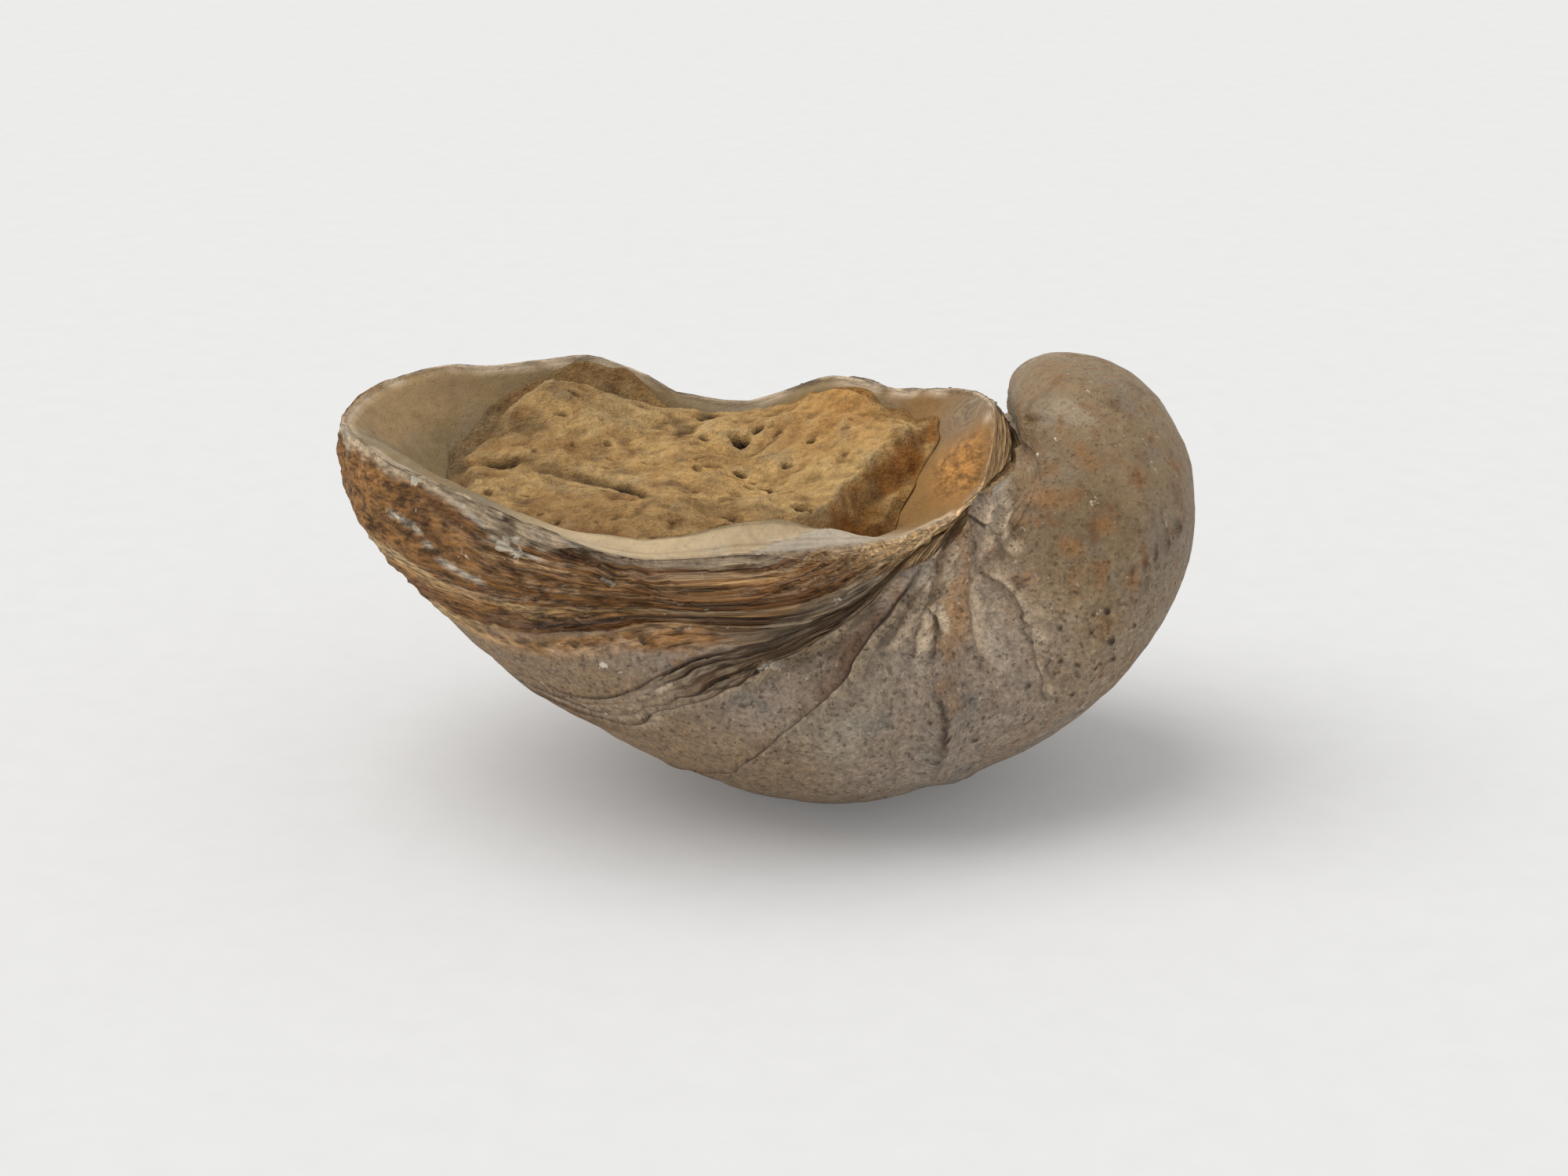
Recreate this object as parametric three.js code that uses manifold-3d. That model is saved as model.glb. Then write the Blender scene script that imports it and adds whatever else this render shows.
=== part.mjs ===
// A devil's toenail: the fossil left valve of a Gryphaea oyster, with the hardened sediment that still
// lies in its hollow.
//
// Millimetres, +Z up. The valve lies on its convex side. The origin is in the worn flat that it rests on.
// +X runs to the coiled beak, -X to the flared lip, and the coiling (hinge) axis is parallel to Y.
//
// Every growth stage of the shell is a closed loop in a plane through the hinge axis. The planes turn
// about that axis: 0 degrees is the mouth of the shell, pointing to -X, 90 is straight down, 180 points
// to +X and 270 is straight up, where the beak curls back over the hinge. Along a loop, theta is 0 at the
// lip side, -90 at the near side (-Y), 90 at the far side and 180 at the hinge.

import * as THREE from 'three';
import Module from 'manifold-3d';

const wasm = await Module();
wasm.setup();

// ---------------------------------------------------------------- driving dimensions

const HINGE_X = 15.1;
const HINGE_Z = 30.1;

// Growth stages: angle, radius from the hinge axis, half width, half width on the hinge side, clearance
// left around the hinge axis.
const STAGES = [
  [-4, 60.1, 23.0, 9.0, 2.0],
  [14, 52.2, 24.8, 9.0, 1.8],
  [30, 44.5, 24.6, 9.4, 1.4],
  [46, 39.4, 23.5, 10.0, 1.0],
  [60, 35.6, 22.0, 11.5, 0.7],
  [80, 28.6, 20.0, 13.5, 0.4],
  [119, 20.9, 16.5, 14.5, 0.3],
  [180, 13.8, 12.8, 12.4, 0.3],
  [235, 8.1, 9.8, 9.4, 0.3],
  [252, 6.4, 8.4, 8.0, 0.3],
  [268, 4.8, 6.6, 6.2, 0.3],
  [285, 3.4, 4.4, 4.0, 0.3],
];
const BEAK_STAGE = 266;          // last loop of the beak, closed by a rounded cap
const BEAK_CAP = 16;             // degrees that the cap goes on beyond it
const LAMINA_STAGE = 14;         // lower edge of the laminated margin
const BEAK_DRIFT = { distance: 2.0, stages: [200, 300] };   // lean of the beak to the far side
const LIP_SQUARENESS = 2.15;     // superellipse power of a loop on the lip side
const HINGE_SQUARENESS = [3.4, 4.6];          // and on the hinge side, at the mouth and on the beak
const HINGE_SQUARENESS_STAGES = [46, 100];
const WIDENING_REACH = [-0.12, 0.55];         // where a loop widens from the hinge width to the full width
const FAR_LOBE = { swell: 0.2, reach: 0.22, spread: 0.2, stages: [80, 30] };   // wider far side at the hinge
const HINGE_BOW = { near: 0.02, far: 0.012, radius: 13 };    // curving of the hinge ends towards the lip

// Towards the hinge the growth lines bunch, and at the lip they run ahead: stage, and its angle there.
const BUNCHING = [
  [-4, 2], [0, 8], [14, 34], [30, 44], [46, 49], [62, 53], [76, 58], [90, 70], [120, 108], [180, 180],
  [285, 285],
];
const BUNCHED_REACH = [0.62, 0.2];
const BUNCHED_FLANK = 0.35;      // share of the width, from the middle, over which the bunching sets in
const BUNCHED_FAR = 0.55;        // strength of the bunching on the far side
const LIP_ADVANCE = [[-4, -4], [14, 12], [28, 20], [44, 42], [60, 60], [285, 285]];
const LIP_REACH = [0.8, 0.98];

// Growth ledges, where a shell layer ends in a broken edge: stage, height, degrees over which it fades.
const LEDGES = [
  [21, 0.35, 2.5],
  [25, 0.45, 3],
  [28, 0.6, 5],
  [41.5, 0.9, 9],
];
// Edge of the outer layer left on the beak, on the near side only.
const PLATE_EDGE = { stage: 103, height: 0.7, fade: 20, side: [0.5, 0.9], reach: [0.8, 0.5] };
// Furrows along the growth lines: stage, depth, half width.
const FURROWS = [
  [74, 1.5, 4.5],
  [89, 0.4, 3],
];
const RELIEF_REACH = [0.02, 0.3];    // the relief dies out towards the hinge

// Rim: theta, height of the crest above the hinge axis.
const CREST = [
  [-180, 2.5], [-173, 0.6], [-160, -2.9], [-145, -4.1], [-128, -5.0], [-106, -4.6], [-92, -3.6], [-82, -2.8],
  [-72, -1.4], [-60, 0.3], [-40, 2.2], [-20, 3.2], [10, 2.4], [35, 2.6], [55, 1.7], [72, 1.8], [82, 0.2],
  [94, -2.8], [104, -1.0], [116, 0.9], [128, 0.9], [145, 2.0], [160, 2.6], [172, 2.6], [180, 2.5],
];
const LAMINA_COUNT = 4;          // ridges of the laminated margin
const LAMINA_RELIEF = 0.35;
const LAMINA_REACH = [0.05, 0.3];
const MARGIN_BULGE = [0.8, 2.5];     // how far the margin swells outwards, along the sides and at the lip
const CREST_INSET = [0.4, 1.8];      // how far the crest stands in from the wall, and more along the sides

const BOWL_X = HINGE_X - 29;     // middle of the hollow
const BOWL_FLOOR_Z = 12.5;
const BOWL_STEEPNESS = [1.4, 3.0];   // power of the hollow's profile, lengthwise and across
const LEDGE_WIDTH = [0.04, 0.16];    // width of the inner ledge as a share of the hollow, far and near side

// Inner ledge, from the crest to where the hollow falls away: theta, height of its inner edge over the crest.
const LEDGE_RISE = [
  [-180, -0.7], [-132, -0.6], [-119, 0.8], [-111, 1.8], [-104, 2.4], [-97, 2.2], [-87, 0.8], [-80, 0.4],
  [-72, -0.6], [-56, -1.2], [-35, -0.9], [0, -0.7], [180, -0.7],
];

// Sediment: theta, how far it reaches out from the middle of the hollow (1 is the crest).
const FILL_REACH = [
  [-180, 0.75], [-172, 0.71], [-147, 0.7], [-132, 0.72], [-115, 0.78], [-90, 0.82], [-45, 0.8], [-20, 0.74],
  [0, 0.71],
  [12, 0.73], [25, 0.79], [36, 0.85], [46, 0.91], [60, 0.95], [90, 0.95], [128, 0.95], [146, 0.92],
  [168, 0.85], [174, 0.8], [180, 0.75],
];
const FILL_NEAR_Z = 26;          // top of the sediment along the near side
const FILL_SLOPE = 0.045;        // its rise towards the far side
// The sediment ends in a broken step towards the hinge: line that the step follows, its drop and half width.
const FILL_STEP = { from: [-0.2, -7.5], to: [8.2, 5.5], drop: 3, spread: 1.5 };
const FILL_GAP = 0.3;            // left between sediment and shell
const FILL_RIM = [0.7, 0.1];     // thickness of the sediment's edge: round the hollow, and near the lip
const FILL_LIP_THETA = [70, 30]; // theta over which the edge thins towards the lip
const FILL_RAMP = 0.12;          // share of the reach over which the top rises from that edge

// Lumps (positive) and pits (negative) of the sediment: x, y, height, radius.
const FILL_LUMPS = [
  [1, 13, 3.4, 6.5],
  [5, 3, 2.6, 5],
  [-25, 17, 3.4, 5.5],
  [-31, 14.8, 2.2, 3.0],
  [-14, -9, 0.8, 5],
  [-9.2, 9, -1.4, 2.6],
  [-8, 0.5, -1.2, 3],
  [-20, 5, -1.0, 3.5],
];

// Mesh rings.
const AROUND = 64;               // points of a ring
const CAP_RINGS = [60, 30];      // degrees from the last loop of the beak
const RING_SPACING = [1.2, 0.072];            // degrees between stages: at stage 0, and more per degree
const LEDGE_RING_OFFSET = 0.4;   // a ledge has a ring this many degrees before and after it
const LEDGE_RING_CLEARANCE = 1.3;
const HOLLOW_RINGS = [0.97, 0.93, 0.89, 0.85, 0.8, 0.74, 0.67, 0.59, 0.48, 0.34, 0.18];
const FILL_UNDERSIDE_RINGS = [0.3, 0.6, 0.85, 1];
const FILL_TOP_RINGS = [1, 0.965, 0.9, 0.8, 0.68, 0.56, 0.44, 0.32, 0.2, 0.1];

// ---------------------------------------------------------------- small helpers

const { clamp, degToRad, lerp, radToDeg } = THREE.MathUtils;

function smooth([low, high], x) {
  const u = clamp((x - low) / (high - low), 0, 1);
  return u * u * (3 - 2 * u);
}

function bell(x, middle, spread) {
  return Math.exp(-(((x - middle) / spread) ** 2));
}

// Monotone cubic curve through [x, y] points.
function curve(points) {
  const n = points.length;
  const secants = [];
  for (let i = 0; i < n - 1; i += 1) {
    secants.push((points[i + 1][1] - points[i][1]) / (points[i + 1][0] - points[i][0]));
  }
  const slopes = [secants[0]];
  for (let i = 1; i < n - 1; i += 1) {
    const [a, b] = [secants[i - 1], secants[i]];
    slopes.push(a * b <= 0 ? 0 : (2 * a * b) / (a + b));
  }
  slopes.push(secants[n - 2]);
  return (x) => {
    let i = 0;
    while (i < n - 2 && x > points[i + 1][0]) {
      i += 1;
    }
    const h = points[i + 1][0] - points[i][0];
    const u = (x - points[i][0]) / h;
    const u2 = u * u;
    const u3 = u2 * u;
    return (2 * u3 - 3 * u2 + 1) * points[i][1] + (u3 - 2 * u2 + u) * h * slopes[i]
      + (3 * u2 - 2 * u3) * points[i + 1][1] + (u3 - u2) * h * slopes[i + 1];
  };
}

const column = (index) => curve(STAGES.map((stage) => [stage[0], stage[index]]));
const stageRadius = column(1);
const stageWidth = column(2);
const stageHingeWidth = column(3);
const stageClearance = column(4);
const bunched = curve(BUNCHING);
const advanced = curve(LIP_ADVANCE);
const crestHeight = curve(CREST);
const ledgeRise = curve(LEDGE_RISE);
const fillReach = curve(FILL_REACH);

// ---------------------------------------------------------------- outside of the valve

// Where theta lies on a loop: reach is 0 at the hinge and 1 at the lip, side runs from -1 to 1.
function onLoop(stage, theta) {
  const c = Math.cos(theta);
  const s = Math.sin(theta);
  const hingeSquareness = lerp(...HINGE_SQUARENESS, smooth(HINGE_SQUARENESS_STAGES, stage));
  const power = 2 / (c > 0 ? LIP_SQUARENESS : hingeSquareness);
  const reach = (1 + Math.sign(c) * Math.abs(c) ** power) / 2;
  const side = Math.sign(s) * Math.abs(s) ** power;
  return { reach, side };
}

// Point of the growth plane at `angle`, `reach` out from the hinge and `side` across.
function place(angle, reach, side) {
  const clearance = stageClearance(angle);
  const r = clearance + (stageRadius(angle) - clearance) * reach;
  const hingeWidth = stageHingeWidth(angle);
  let y = side * lerp(hingeWidth, stageWidth(angle), smooth(WIDENING_REACH, reach));
  if (y > 0) {
    y *= 1 + FAR_LOBE.swell * bell(reach, FAR_LOBE.reach, FAR_LOBE.spread) * smooth(FAR_LOBE.stages, angle);
  }
  y += BEAK_DRIFT.distance * smooth(BEAK_DRIFT.stages, angle);
  const bow = (y < 0 ? HINGE_BOW.near : HINGE_BOW.far) * y * y * bell(r, 0, HINGE_BOW.radius);
  return new THREE.Vector3(
    HINGE_X - bow - r * Math.cos(degToRad(angle)),
    y,
    HINGE_Z - r * Math.sin(degToRad(angle)),
  );
}

function smoothWall(stage, theta) {
  const { reach, side } = onLoop(stage, theta);
  const flank = smooth([0, BUNCHED_FLANK], Math.abs(side)) * (side < 0 ? 1 : BUNCHED_FAR);
  const nearHinge = smooth(BUNCHED_REACH, reach) * flank;
  const nearLip = smooth(LIP_REACH, reach);
  const angle = stage + (bunched(stage) - stage) * nearHinge + (advanced(stage) - stage) * nearLip;
  return place(angle, reach, side);
}

// Height of ledges and furrows over the smooth wall.
function relief(stage, theta) {
  const { reach, side } = onLoop(stage, theta);
  let height = 0;
  for (const [edge, rise, fade] of LEDGES) {
    if (stage > edge) {
      height += rise * Math.exp(-(stage - edge) / fade);
    }
  }
  for (const [middle, depth, spread] of FURROWS) {
    height -= depth * bell(stage, middle, spread);
  }
  if (stage > PLATE_EDGE.stage) {
    const fade = Math.exp(-(stage - PLATE_EDGE.stage) / PLATE_EDGE.fade);
    height += PLATE_EDGE.height * fade * smooth(PLATE_EDGE.side, -side) * smooth(PLATE_EDGE.reach, reach);
  }
  return height * smooth(RELIEF_REACH, reach);
}

function wall(stage, theta) {
  const point = smoothWall(stage, theta);
  const step = 0.01;
  const along = smoothWall(stage + 1, theta).sub(smoothWall(stage - 1, theta));
  const around = smoothWall(stage, theta + step).sub(smoothWall(stage, theta - step));
  const normal = along.cross(around);
  if (normal.lengthSq() < 1e-12) {
    return point;
  }
  return point.addScaledVector(normal.normalize(), relief(stage, theta));
}

// Rounded tip of the beak: `beta` is 0 at the last loop and 90 degrees at the pole.
function beakCap(beta, theta) {
  const { reach, side } = onLoop(BEAK_STAGE, theta);
  const shrink = Math.cos(beta);
  return place(BEAK_STAGE + BEAK_CAP * Math.sin(beta), 0.5 + (reach - 0.5) * shrink, side * shrink);
}

// ---------------------------------------------------------------- rim and hollow

function crest(theta) {
  const { reach, side } = onLoop(0, theta);
  const point = place(0, reach, side);
  const outward = new THREE.Vector3(point.x - BOWL_X, point.y, 0).normalize();
  const alongSide = smooth([0.02, 0.4], reach) * smooth([1, 0.8], reach);
  const inset = CREST_INSET[0] + CREST_INSET[1] * alongSide;
  point.addScaledVector(outward, -inset);
  point.z = HINGE_Z + crestHeight(radToDeg(theta));
  return point;
}

// Laminated margin between the last smooth stage and the crest, `rise` from 0 to 1.
function margin(rise, theta) {
  const foot = wall(LAMINA_STAGE, theta);
  const point = foot.clone().lerp(crest(theta), rise);
  const outward = new THREE.Vector3(point.x - BOWL_X, point.y, 0).normalize();
  const { reach } = onLoop(0, theta);
  const lamina = -Math.cos(rise * LAMINA_COUNT * 2 * Math.PI) * LAMINA_RELIEF * smooth(LAMINA_REACH, reach);
  const bulge = lerp(...MARGIN_BULGE, smooth([0.8, 1], reach));
  return point.addScaledVector(outward, (bulge + lamina) * Math.sin(Math.PI * rise));
}

// Surface of the hollow, `reach` from 1 at the crest to 0 in the middle.
function hollow(reach, theta) {
  const edge = crest(theta);
  const rise = ledgeRise(radToDeg(theta));
  const shelf = 1 - lerp(...LEDGE_WIDTH, Math.max(0, -Math.sin(theta)));
  const steepness = lerp(...BOWL_STEEPNESS, Math.sin(theta) ** 2);
  const depth = (edge.z + rise - BOWL_FLOOR_Z) * (1 - clamp(reach / shelf, 0, 1) ** steepness);
  return new THREE.Vector3(
    BOWL_X + (edge.x - BOWL_X) * reach,
    edge.y * reach,
    edge.z + rise * clamp((1 - reach) / (1 - shelf), 0, 1) - depth,
  );
}

// ---------------------------------------------------------------- sediment

// Distance of a point beyond the line of the sediment's step.
function beyondStep(point) {
  const [x, y] = FILL_STEP.from;
  const [dx, dy] = [FILL_STEP.to[0] - x, FILL_STEP.to[1] - y];
  return ((point.x - x) * dy - (point.y - y) * dx) / Math.hypot(dx, dy);
}

// Height where it is positive and nothing where it is negative, with a soft turn of about 1 mm.
function softPositive(height) {
  return (height + Math.hypot(height, 1)) / 2;
}

function fillTop(share, theta) {
  const degrees = radToDeg(theta);
  const point = hollow(fillReach(degrees) * share, theta);
  let top = FILL_NEAR_Z + FILL_SLOPE * (point.y + 16);
  for (const [x, y, height, radius] of FILL_LUMPS) {
    top += height * bell(Math.hypot(point.x - x, point.y - y), 0, radius);
  }
  top -= FILL_STEP.drop * smooth([-FILL_STEP.spread, FILL_STEP.spread], beyondStep(point));
  const rim = lerp(...FILL_RIM, smooth(FILL_LIP_THETA, Math.abs(degrees)));
  const edgeTop = point.z + FILL_GAP + rim;
  point.z = edgeTop + softPositive(top - edgeTop) * smooth([1, 1 - FILL_RAMP], share);
  return point;
}

function fillUnderside(share, theta) {
  const point = hollow(fillReach(radToDeg(theta)) * share, theta);
  point.z += FILL_GAP;
  return point;
}

// ---------------------------------------------------------------- meshes

// Closed solid from rings of points; the first and the last row are single points.
function solidFromRings(firstPoint, rings, lastPoint) {
  const around = rings[0].length;
  const vertices = [firstPoint, ...rings.flat(), lastPoint];
  const triangles = [];
  const at = (ring, j) => 1 + ring * around + (j % around);
  for (let j = 0; j < around; j += 1) {
    triangles.push([0, at(0, j), at(0, j + 1)]);
    triangles.push([vertices.length - 1, at(rings.length - 1, j + 1), at(rings.length - 1, j)]);
  }
  for (let i = 0; i < rings.length - 1; i += 1) {
    for (let j = 0; j < around; j += 1) {
      triangles.push([at(i, j), at(i + 1, j), at(i + 1, j + 1)]);
      triangles.push([at(i, j), at(i + 1, j + 1), at(i, j + 1)]);
    }
  }
  return new wasm.Manifold(new wasm.Mesh({
    numProp: 3,
    vertProperties: new Float32Array(vertices.flatMap((v) => [v.x, v.y, v.z])),
    triVerts: new Uint32Array(triangles.flat()),
  }));
}

function ring(pointAt) {
  const points = [];
  for (let j = 0; j < AROUND; j += 1) {
    points.push(pointAt(-Math.PI + (2 * Math.PI * j) / AROUND));
  }
  return points;
}

// Block below the resting plane, which cuts the worn flat.
function groundBlock() {
  const [width, height] = [60, 10];
  const block = new THREE.BoxGeometry(width, width, height).translate(0, 0, -height / 2).toNonIndexed();
  const position = block.getAttribute('position');
  const corners = [];
  const index = new Map();
  const triangles = [];
  for (let i = 0; i < position.count; i += 1) {
    const corner = [position.getX(i), position.getY(i), position.getZ(i)];
    const key = corner.join();
    if (!index.has(key)) {
      index.set(key, corners.length);
      corners.push(corner);
    }
    triangles.push(index.get(key));
  }
  return new wasm.Manifold(new wasm.Mesh({
    numProp: 3,
    vertProperties: new Float32Array(corners.flat()),
    triVerts: new Uint32Array(triangles),
  }));
}

function geometryOf(solid) {
  const mesh = solid.getMesh();
  const geometry = new THREE.BufferGeometry();
  geometry.setAttribute('position', new THREE.BufferAttribute(new Float32Array(mesh.vertProperties), 3));
  geometry.setIndex(new THREE.BufferAttribute(new Uint32Array(mesh.triVerts), 1));
  geometry.computeVertexNormals();
  return geometry;
}

// Stages that get a ring: closer together towards the lip, and in pairs on both sides of a ledge.
function wallStages() {
  const edges = [...LEDGES.map((ledge) => ledge[0]), PLATE_EDGE.stage];
  const stages = edges.flatMap((edge) => [edge - LEDGE_RING_OFFSET, edge + LEDGE_RING_OFFSET]);
  for (let stage = BEAK_STAGE; stage > LAMINA_STAGE; stage -= RING_SPACING[0] + RING_SPACING[1] * stage) {
    const free = edges.every((edge) => Math.abs(edge - stage) > LEDGE_RING_CLEARANCE);
    if (free) {
      stages.push(stage);
    }
  }
  return stages.sort((a, b) => b - a);
}

function valveGeometry() {
  const rings = [];
  for (const degrees of CAP_RINGS) {
    rings.push(ring((theta) => beakCap(degToRad(degrees), theta)));
  }
  for (const stage of wallStages()) {
    rings.push(ring((theta) => wall(stage, theta)));
  }
  for (let k = 0; k <= 2 * LAMINA_COUNT; k += 1) {
    rings.push(ring((theta) => margin(k / (2 * LAMINA_COUNT), theta)));
  }
  for (const reach of HOLLOW_RINGS) {
    rings.push(ring((theta) => hollow(reach, theta)));
  }
  const solid = solidFromRings(beakCap(Math.PI / 2, 0), rings, hollow(0, 0));
  return geometryOf(solid.subtract(groundBlock()));
}

function matrixGeometry() {
  const rings = [];
  for (const share of FILL_UNDERSIDE_RINGS) {
    rings.push(ring((theta) => fillUnderside(share, theta)));
  }
  for (const share of FILL_TOP_RINGS) {
    rings.push(ring((theta) => fillTop(share, theta)));
  }
  return geometryOf(solidFromRings(fillUnderside(0, 0), rings, fillTop(0, 0)));
}

// ---------------------------------------------------------------- assembly

function shellMaterial() {
  return new THREE.MeshStandardMaterial({ color: 0x817162, roughness: 0.85, metalness: 0 });
}

function sedimentMaterial() {
  return new THREE.MeshStandardMaterial({ color: 0xa07f53, roughness: 0.95, metalness: 0 });
}

function named(name, geometry, material) {
  const mesh = new THREE.Mesh(geometry, material);
  mesh.name = name;
  return mesh;
}

const fossil = new THREE.Group();
fossil.add(named('valve', valveGeometry(), shellMaterial()));
fossil.add(named('matrix', matrixGeometry(), sedimentMaterial()));

export default fossil;
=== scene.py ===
"""Looks of the devil's toenail fossil: its coiled valve and the sediment in its hollow, on a pale floor.

The form is the CAD's own: growth loops in planes that turn about the hinge axis. It is built here on
finer grids, with the layers of the margin, growth ledges, broken plate edges, pits and grain on it.
Lengths are millimetres until a mesh is made, then metres. Places on the shell are given by:
- theta: degrees round a loop, 0 at the lip, -90 on the near side, 180 at the hinge
- stage: angle of a growth plane in degrees, 14 at the foot of the margin and 266 at the beak
- row: number of a row of the grid, like the stage but following the growth lines
- rise: share of the margin's height, 0 at its foot and 1 at the crest
- reach: share of the way from the middle to the edge of the hollow or of a loop
"""

import math

import bpy
import numpy as np
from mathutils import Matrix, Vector


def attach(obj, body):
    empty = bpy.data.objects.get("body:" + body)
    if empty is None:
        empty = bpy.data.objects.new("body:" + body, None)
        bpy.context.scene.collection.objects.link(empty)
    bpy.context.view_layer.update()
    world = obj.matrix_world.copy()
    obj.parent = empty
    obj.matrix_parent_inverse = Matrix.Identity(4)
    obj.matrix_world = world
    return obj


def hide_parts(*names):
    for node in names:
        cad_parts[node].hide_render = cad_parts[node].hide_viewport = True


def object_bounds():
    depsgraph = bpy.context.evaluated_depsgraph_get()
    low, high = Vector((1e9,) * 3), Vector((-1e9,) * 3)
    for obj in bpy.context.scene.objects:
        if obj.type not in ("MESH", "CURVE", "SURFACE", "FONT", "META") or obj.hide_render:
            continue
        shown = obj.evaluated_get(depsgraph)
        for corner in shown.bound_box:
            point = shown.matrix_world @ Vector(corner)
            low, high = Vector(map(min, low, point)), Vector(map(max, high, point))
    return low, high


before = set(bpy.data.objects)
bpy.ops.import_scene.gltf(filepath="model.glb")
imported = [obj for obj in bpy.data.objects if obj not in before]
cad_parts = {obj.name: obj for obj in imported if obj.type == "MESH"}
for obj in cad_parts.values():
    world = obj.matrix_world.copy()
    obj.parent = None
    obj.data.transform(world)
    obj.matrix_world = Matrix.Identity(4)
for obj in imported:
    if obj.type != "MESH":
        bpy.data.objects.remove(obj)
CAD_LOW, CAD_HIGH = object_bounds()

# ---------------------------------------------------------------- form, as in the CAD

HINGE_X, HINGE_Z = 15.1, 30.1

# Growth stages: angle, radius, half width, half width on the hinge side, clearance round the axis.
STAGES = np.array([
    [-4, 60.1, 23.0, 9.0, 2.0],
    [14, 52.2, 24.8, 9.0, 1.8],
    [30, 44.5, 24.6, 9.4, 1.4],
    [46, 39.4, 23.5, 10.0, 1.0],
    [60, 35.6, 22.0, 11.5, 0.7],
    [80, 28.6, 20.0, 13.5, 0.4],
    [119, 20.9, 16.5, 14.5, 0.3],
    [180, 13.8, 12.8, 12.4, 0.3],
    [235, 8.1, 9.8, 9.4, 0.3],
    [252, 6.4, 8.4, 8.0, 0.3],
    [268, 4.8, 6.6, 6.2, 0.3],
    [285, 3.4, 4.4, 4.0, 0.3],
])
BEAK_STAGE, BEAK_CAP, BEAK_DRIFT = 266.0, 16.0, 2.0
LAMINA_STAGE = 14.0
LIP_SQUARENESS, HINGE_SQUARENESS = 2.15, (3.4, 4.6)
FAR_LOBE, FAR_LOBE_REACH = 0.2, 0.22
FLANK_BOW_NEAR, FLANK_BOW_FAR = 0.02, 0.012
# Stage that a growth line has near the hinge and at the lip, for its stage elsewhere.
BUNCHING = [
    (-4, 2), (0, 8), (14, 34), (30, 44), (46, 49), (62, 53), (76, 58), (90, 70), (120, 108), (180, 180),
    (285, 285),
]
FAR_BUNCHING = 0.55
LIP_ADVANCE = [(-4, -4), (14, 12), (28, 20), (44, 42), (60, 60), (285, 285)]
# Height of the crest over the hinge axis, and of the inner ledge over the crest: theta, mm.
CREST = [
    (-180, 2.5), (-173, 0.6), (-160, -2.9), (-145, -4.1), (-128, -5.0), (-106, -4.6), (-92, -3.6),
    (-82, -2.8), (-72, -1.4), (-60, 0.3), (-40, 2.2), (-20, 3.2), (10, 2.4), (35, 2.6), (55, 1.7),
    (72, 1.8), (82, 0.2), (94, -2.8), (104, -1.0), (116, 0.9), (128, 0.9), (145, 2.0), (160, 2.6),
    (172, 2.6), (180, 2.5),
]
LEDGE_RISE = [
    (-180, -0.7), (-132, -0.6), (-119, 0.8), (-111, 1.8), (-104, 2.4), (-97, 2.2), (-87, 0.8), (-80, 0.4),
    (-72, -0.6), (-56, -1.2), (-35, -0.9), (0, -0.7), (180, -0.7),
]
CREST_INSET, CREST_INSET_AT_SIDES = 0.4, 1.8
MARGIN_BULGE, MARGIN_BULGE_AT_LIP = 0.8, 1.7
BOWL_X, BOWL_FLOOR_Z = HINGE_X - 29, 12.5
SHELF_REACH, SHELF_WIDENING = 0.96, 0.12
BOWL_STEEPNESS, BOWL_STEEPER_AT_SIDES = 1.4, 1.6
# The sediment: share of the hollow that it fills at each theta, its level, slope, edge, step and lumps.
FILL_REACH = [
    (-180, 0.75), (-172, 0.71), (-147, 0.7), (-132, 0.72), (-115, 0.78), (-90, 0.82), (-45, 0.8),
    (-20, 0.74), (0, 0.71), (12, 0.73), (25, 0.79), (36, 0.85), (46, 0.91), (60, 0.95), (90, 0.95),
    (128, 0.95), (146, 0.92), (168, 0.85), (174, 0.8), (180, 0.75),
]
FILL_NEAR_Y, FILL_NEAR_Z, FILL_SLOPE = -16, 26.0, 0.045
FILL_GAP, FILL_RIM, FILL_RIM_AT_LIP, FILL_RIM_EASE = 0.3, 0.7, 0.1, 0.8
FILL_STEP_FROM, FILL_STEP_TO, FILL_STEP_DROP, FILL_STEP_SPREAD = (-0.2, -7.5), (8.2, 5.5), 3.0, 1.5
# Lumps of the sediment: x, y, height, radius.
FILL_LUMPS = [
    (1, 13, 3.4, 6.5), (5, 3, 2.6, 5), (-25, 17, 3.4, 5.5), (-31, 14.8, 2.2, 3.0), (-14, -9, 0.8, 5),
    (-9.2, 9, -1.4, 2.6), (-8, 0.5, -1.2, 3), (-20, 5, -1.0, 3.5),
]

# ---------------------------------------------------------------- surface detail

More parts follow.
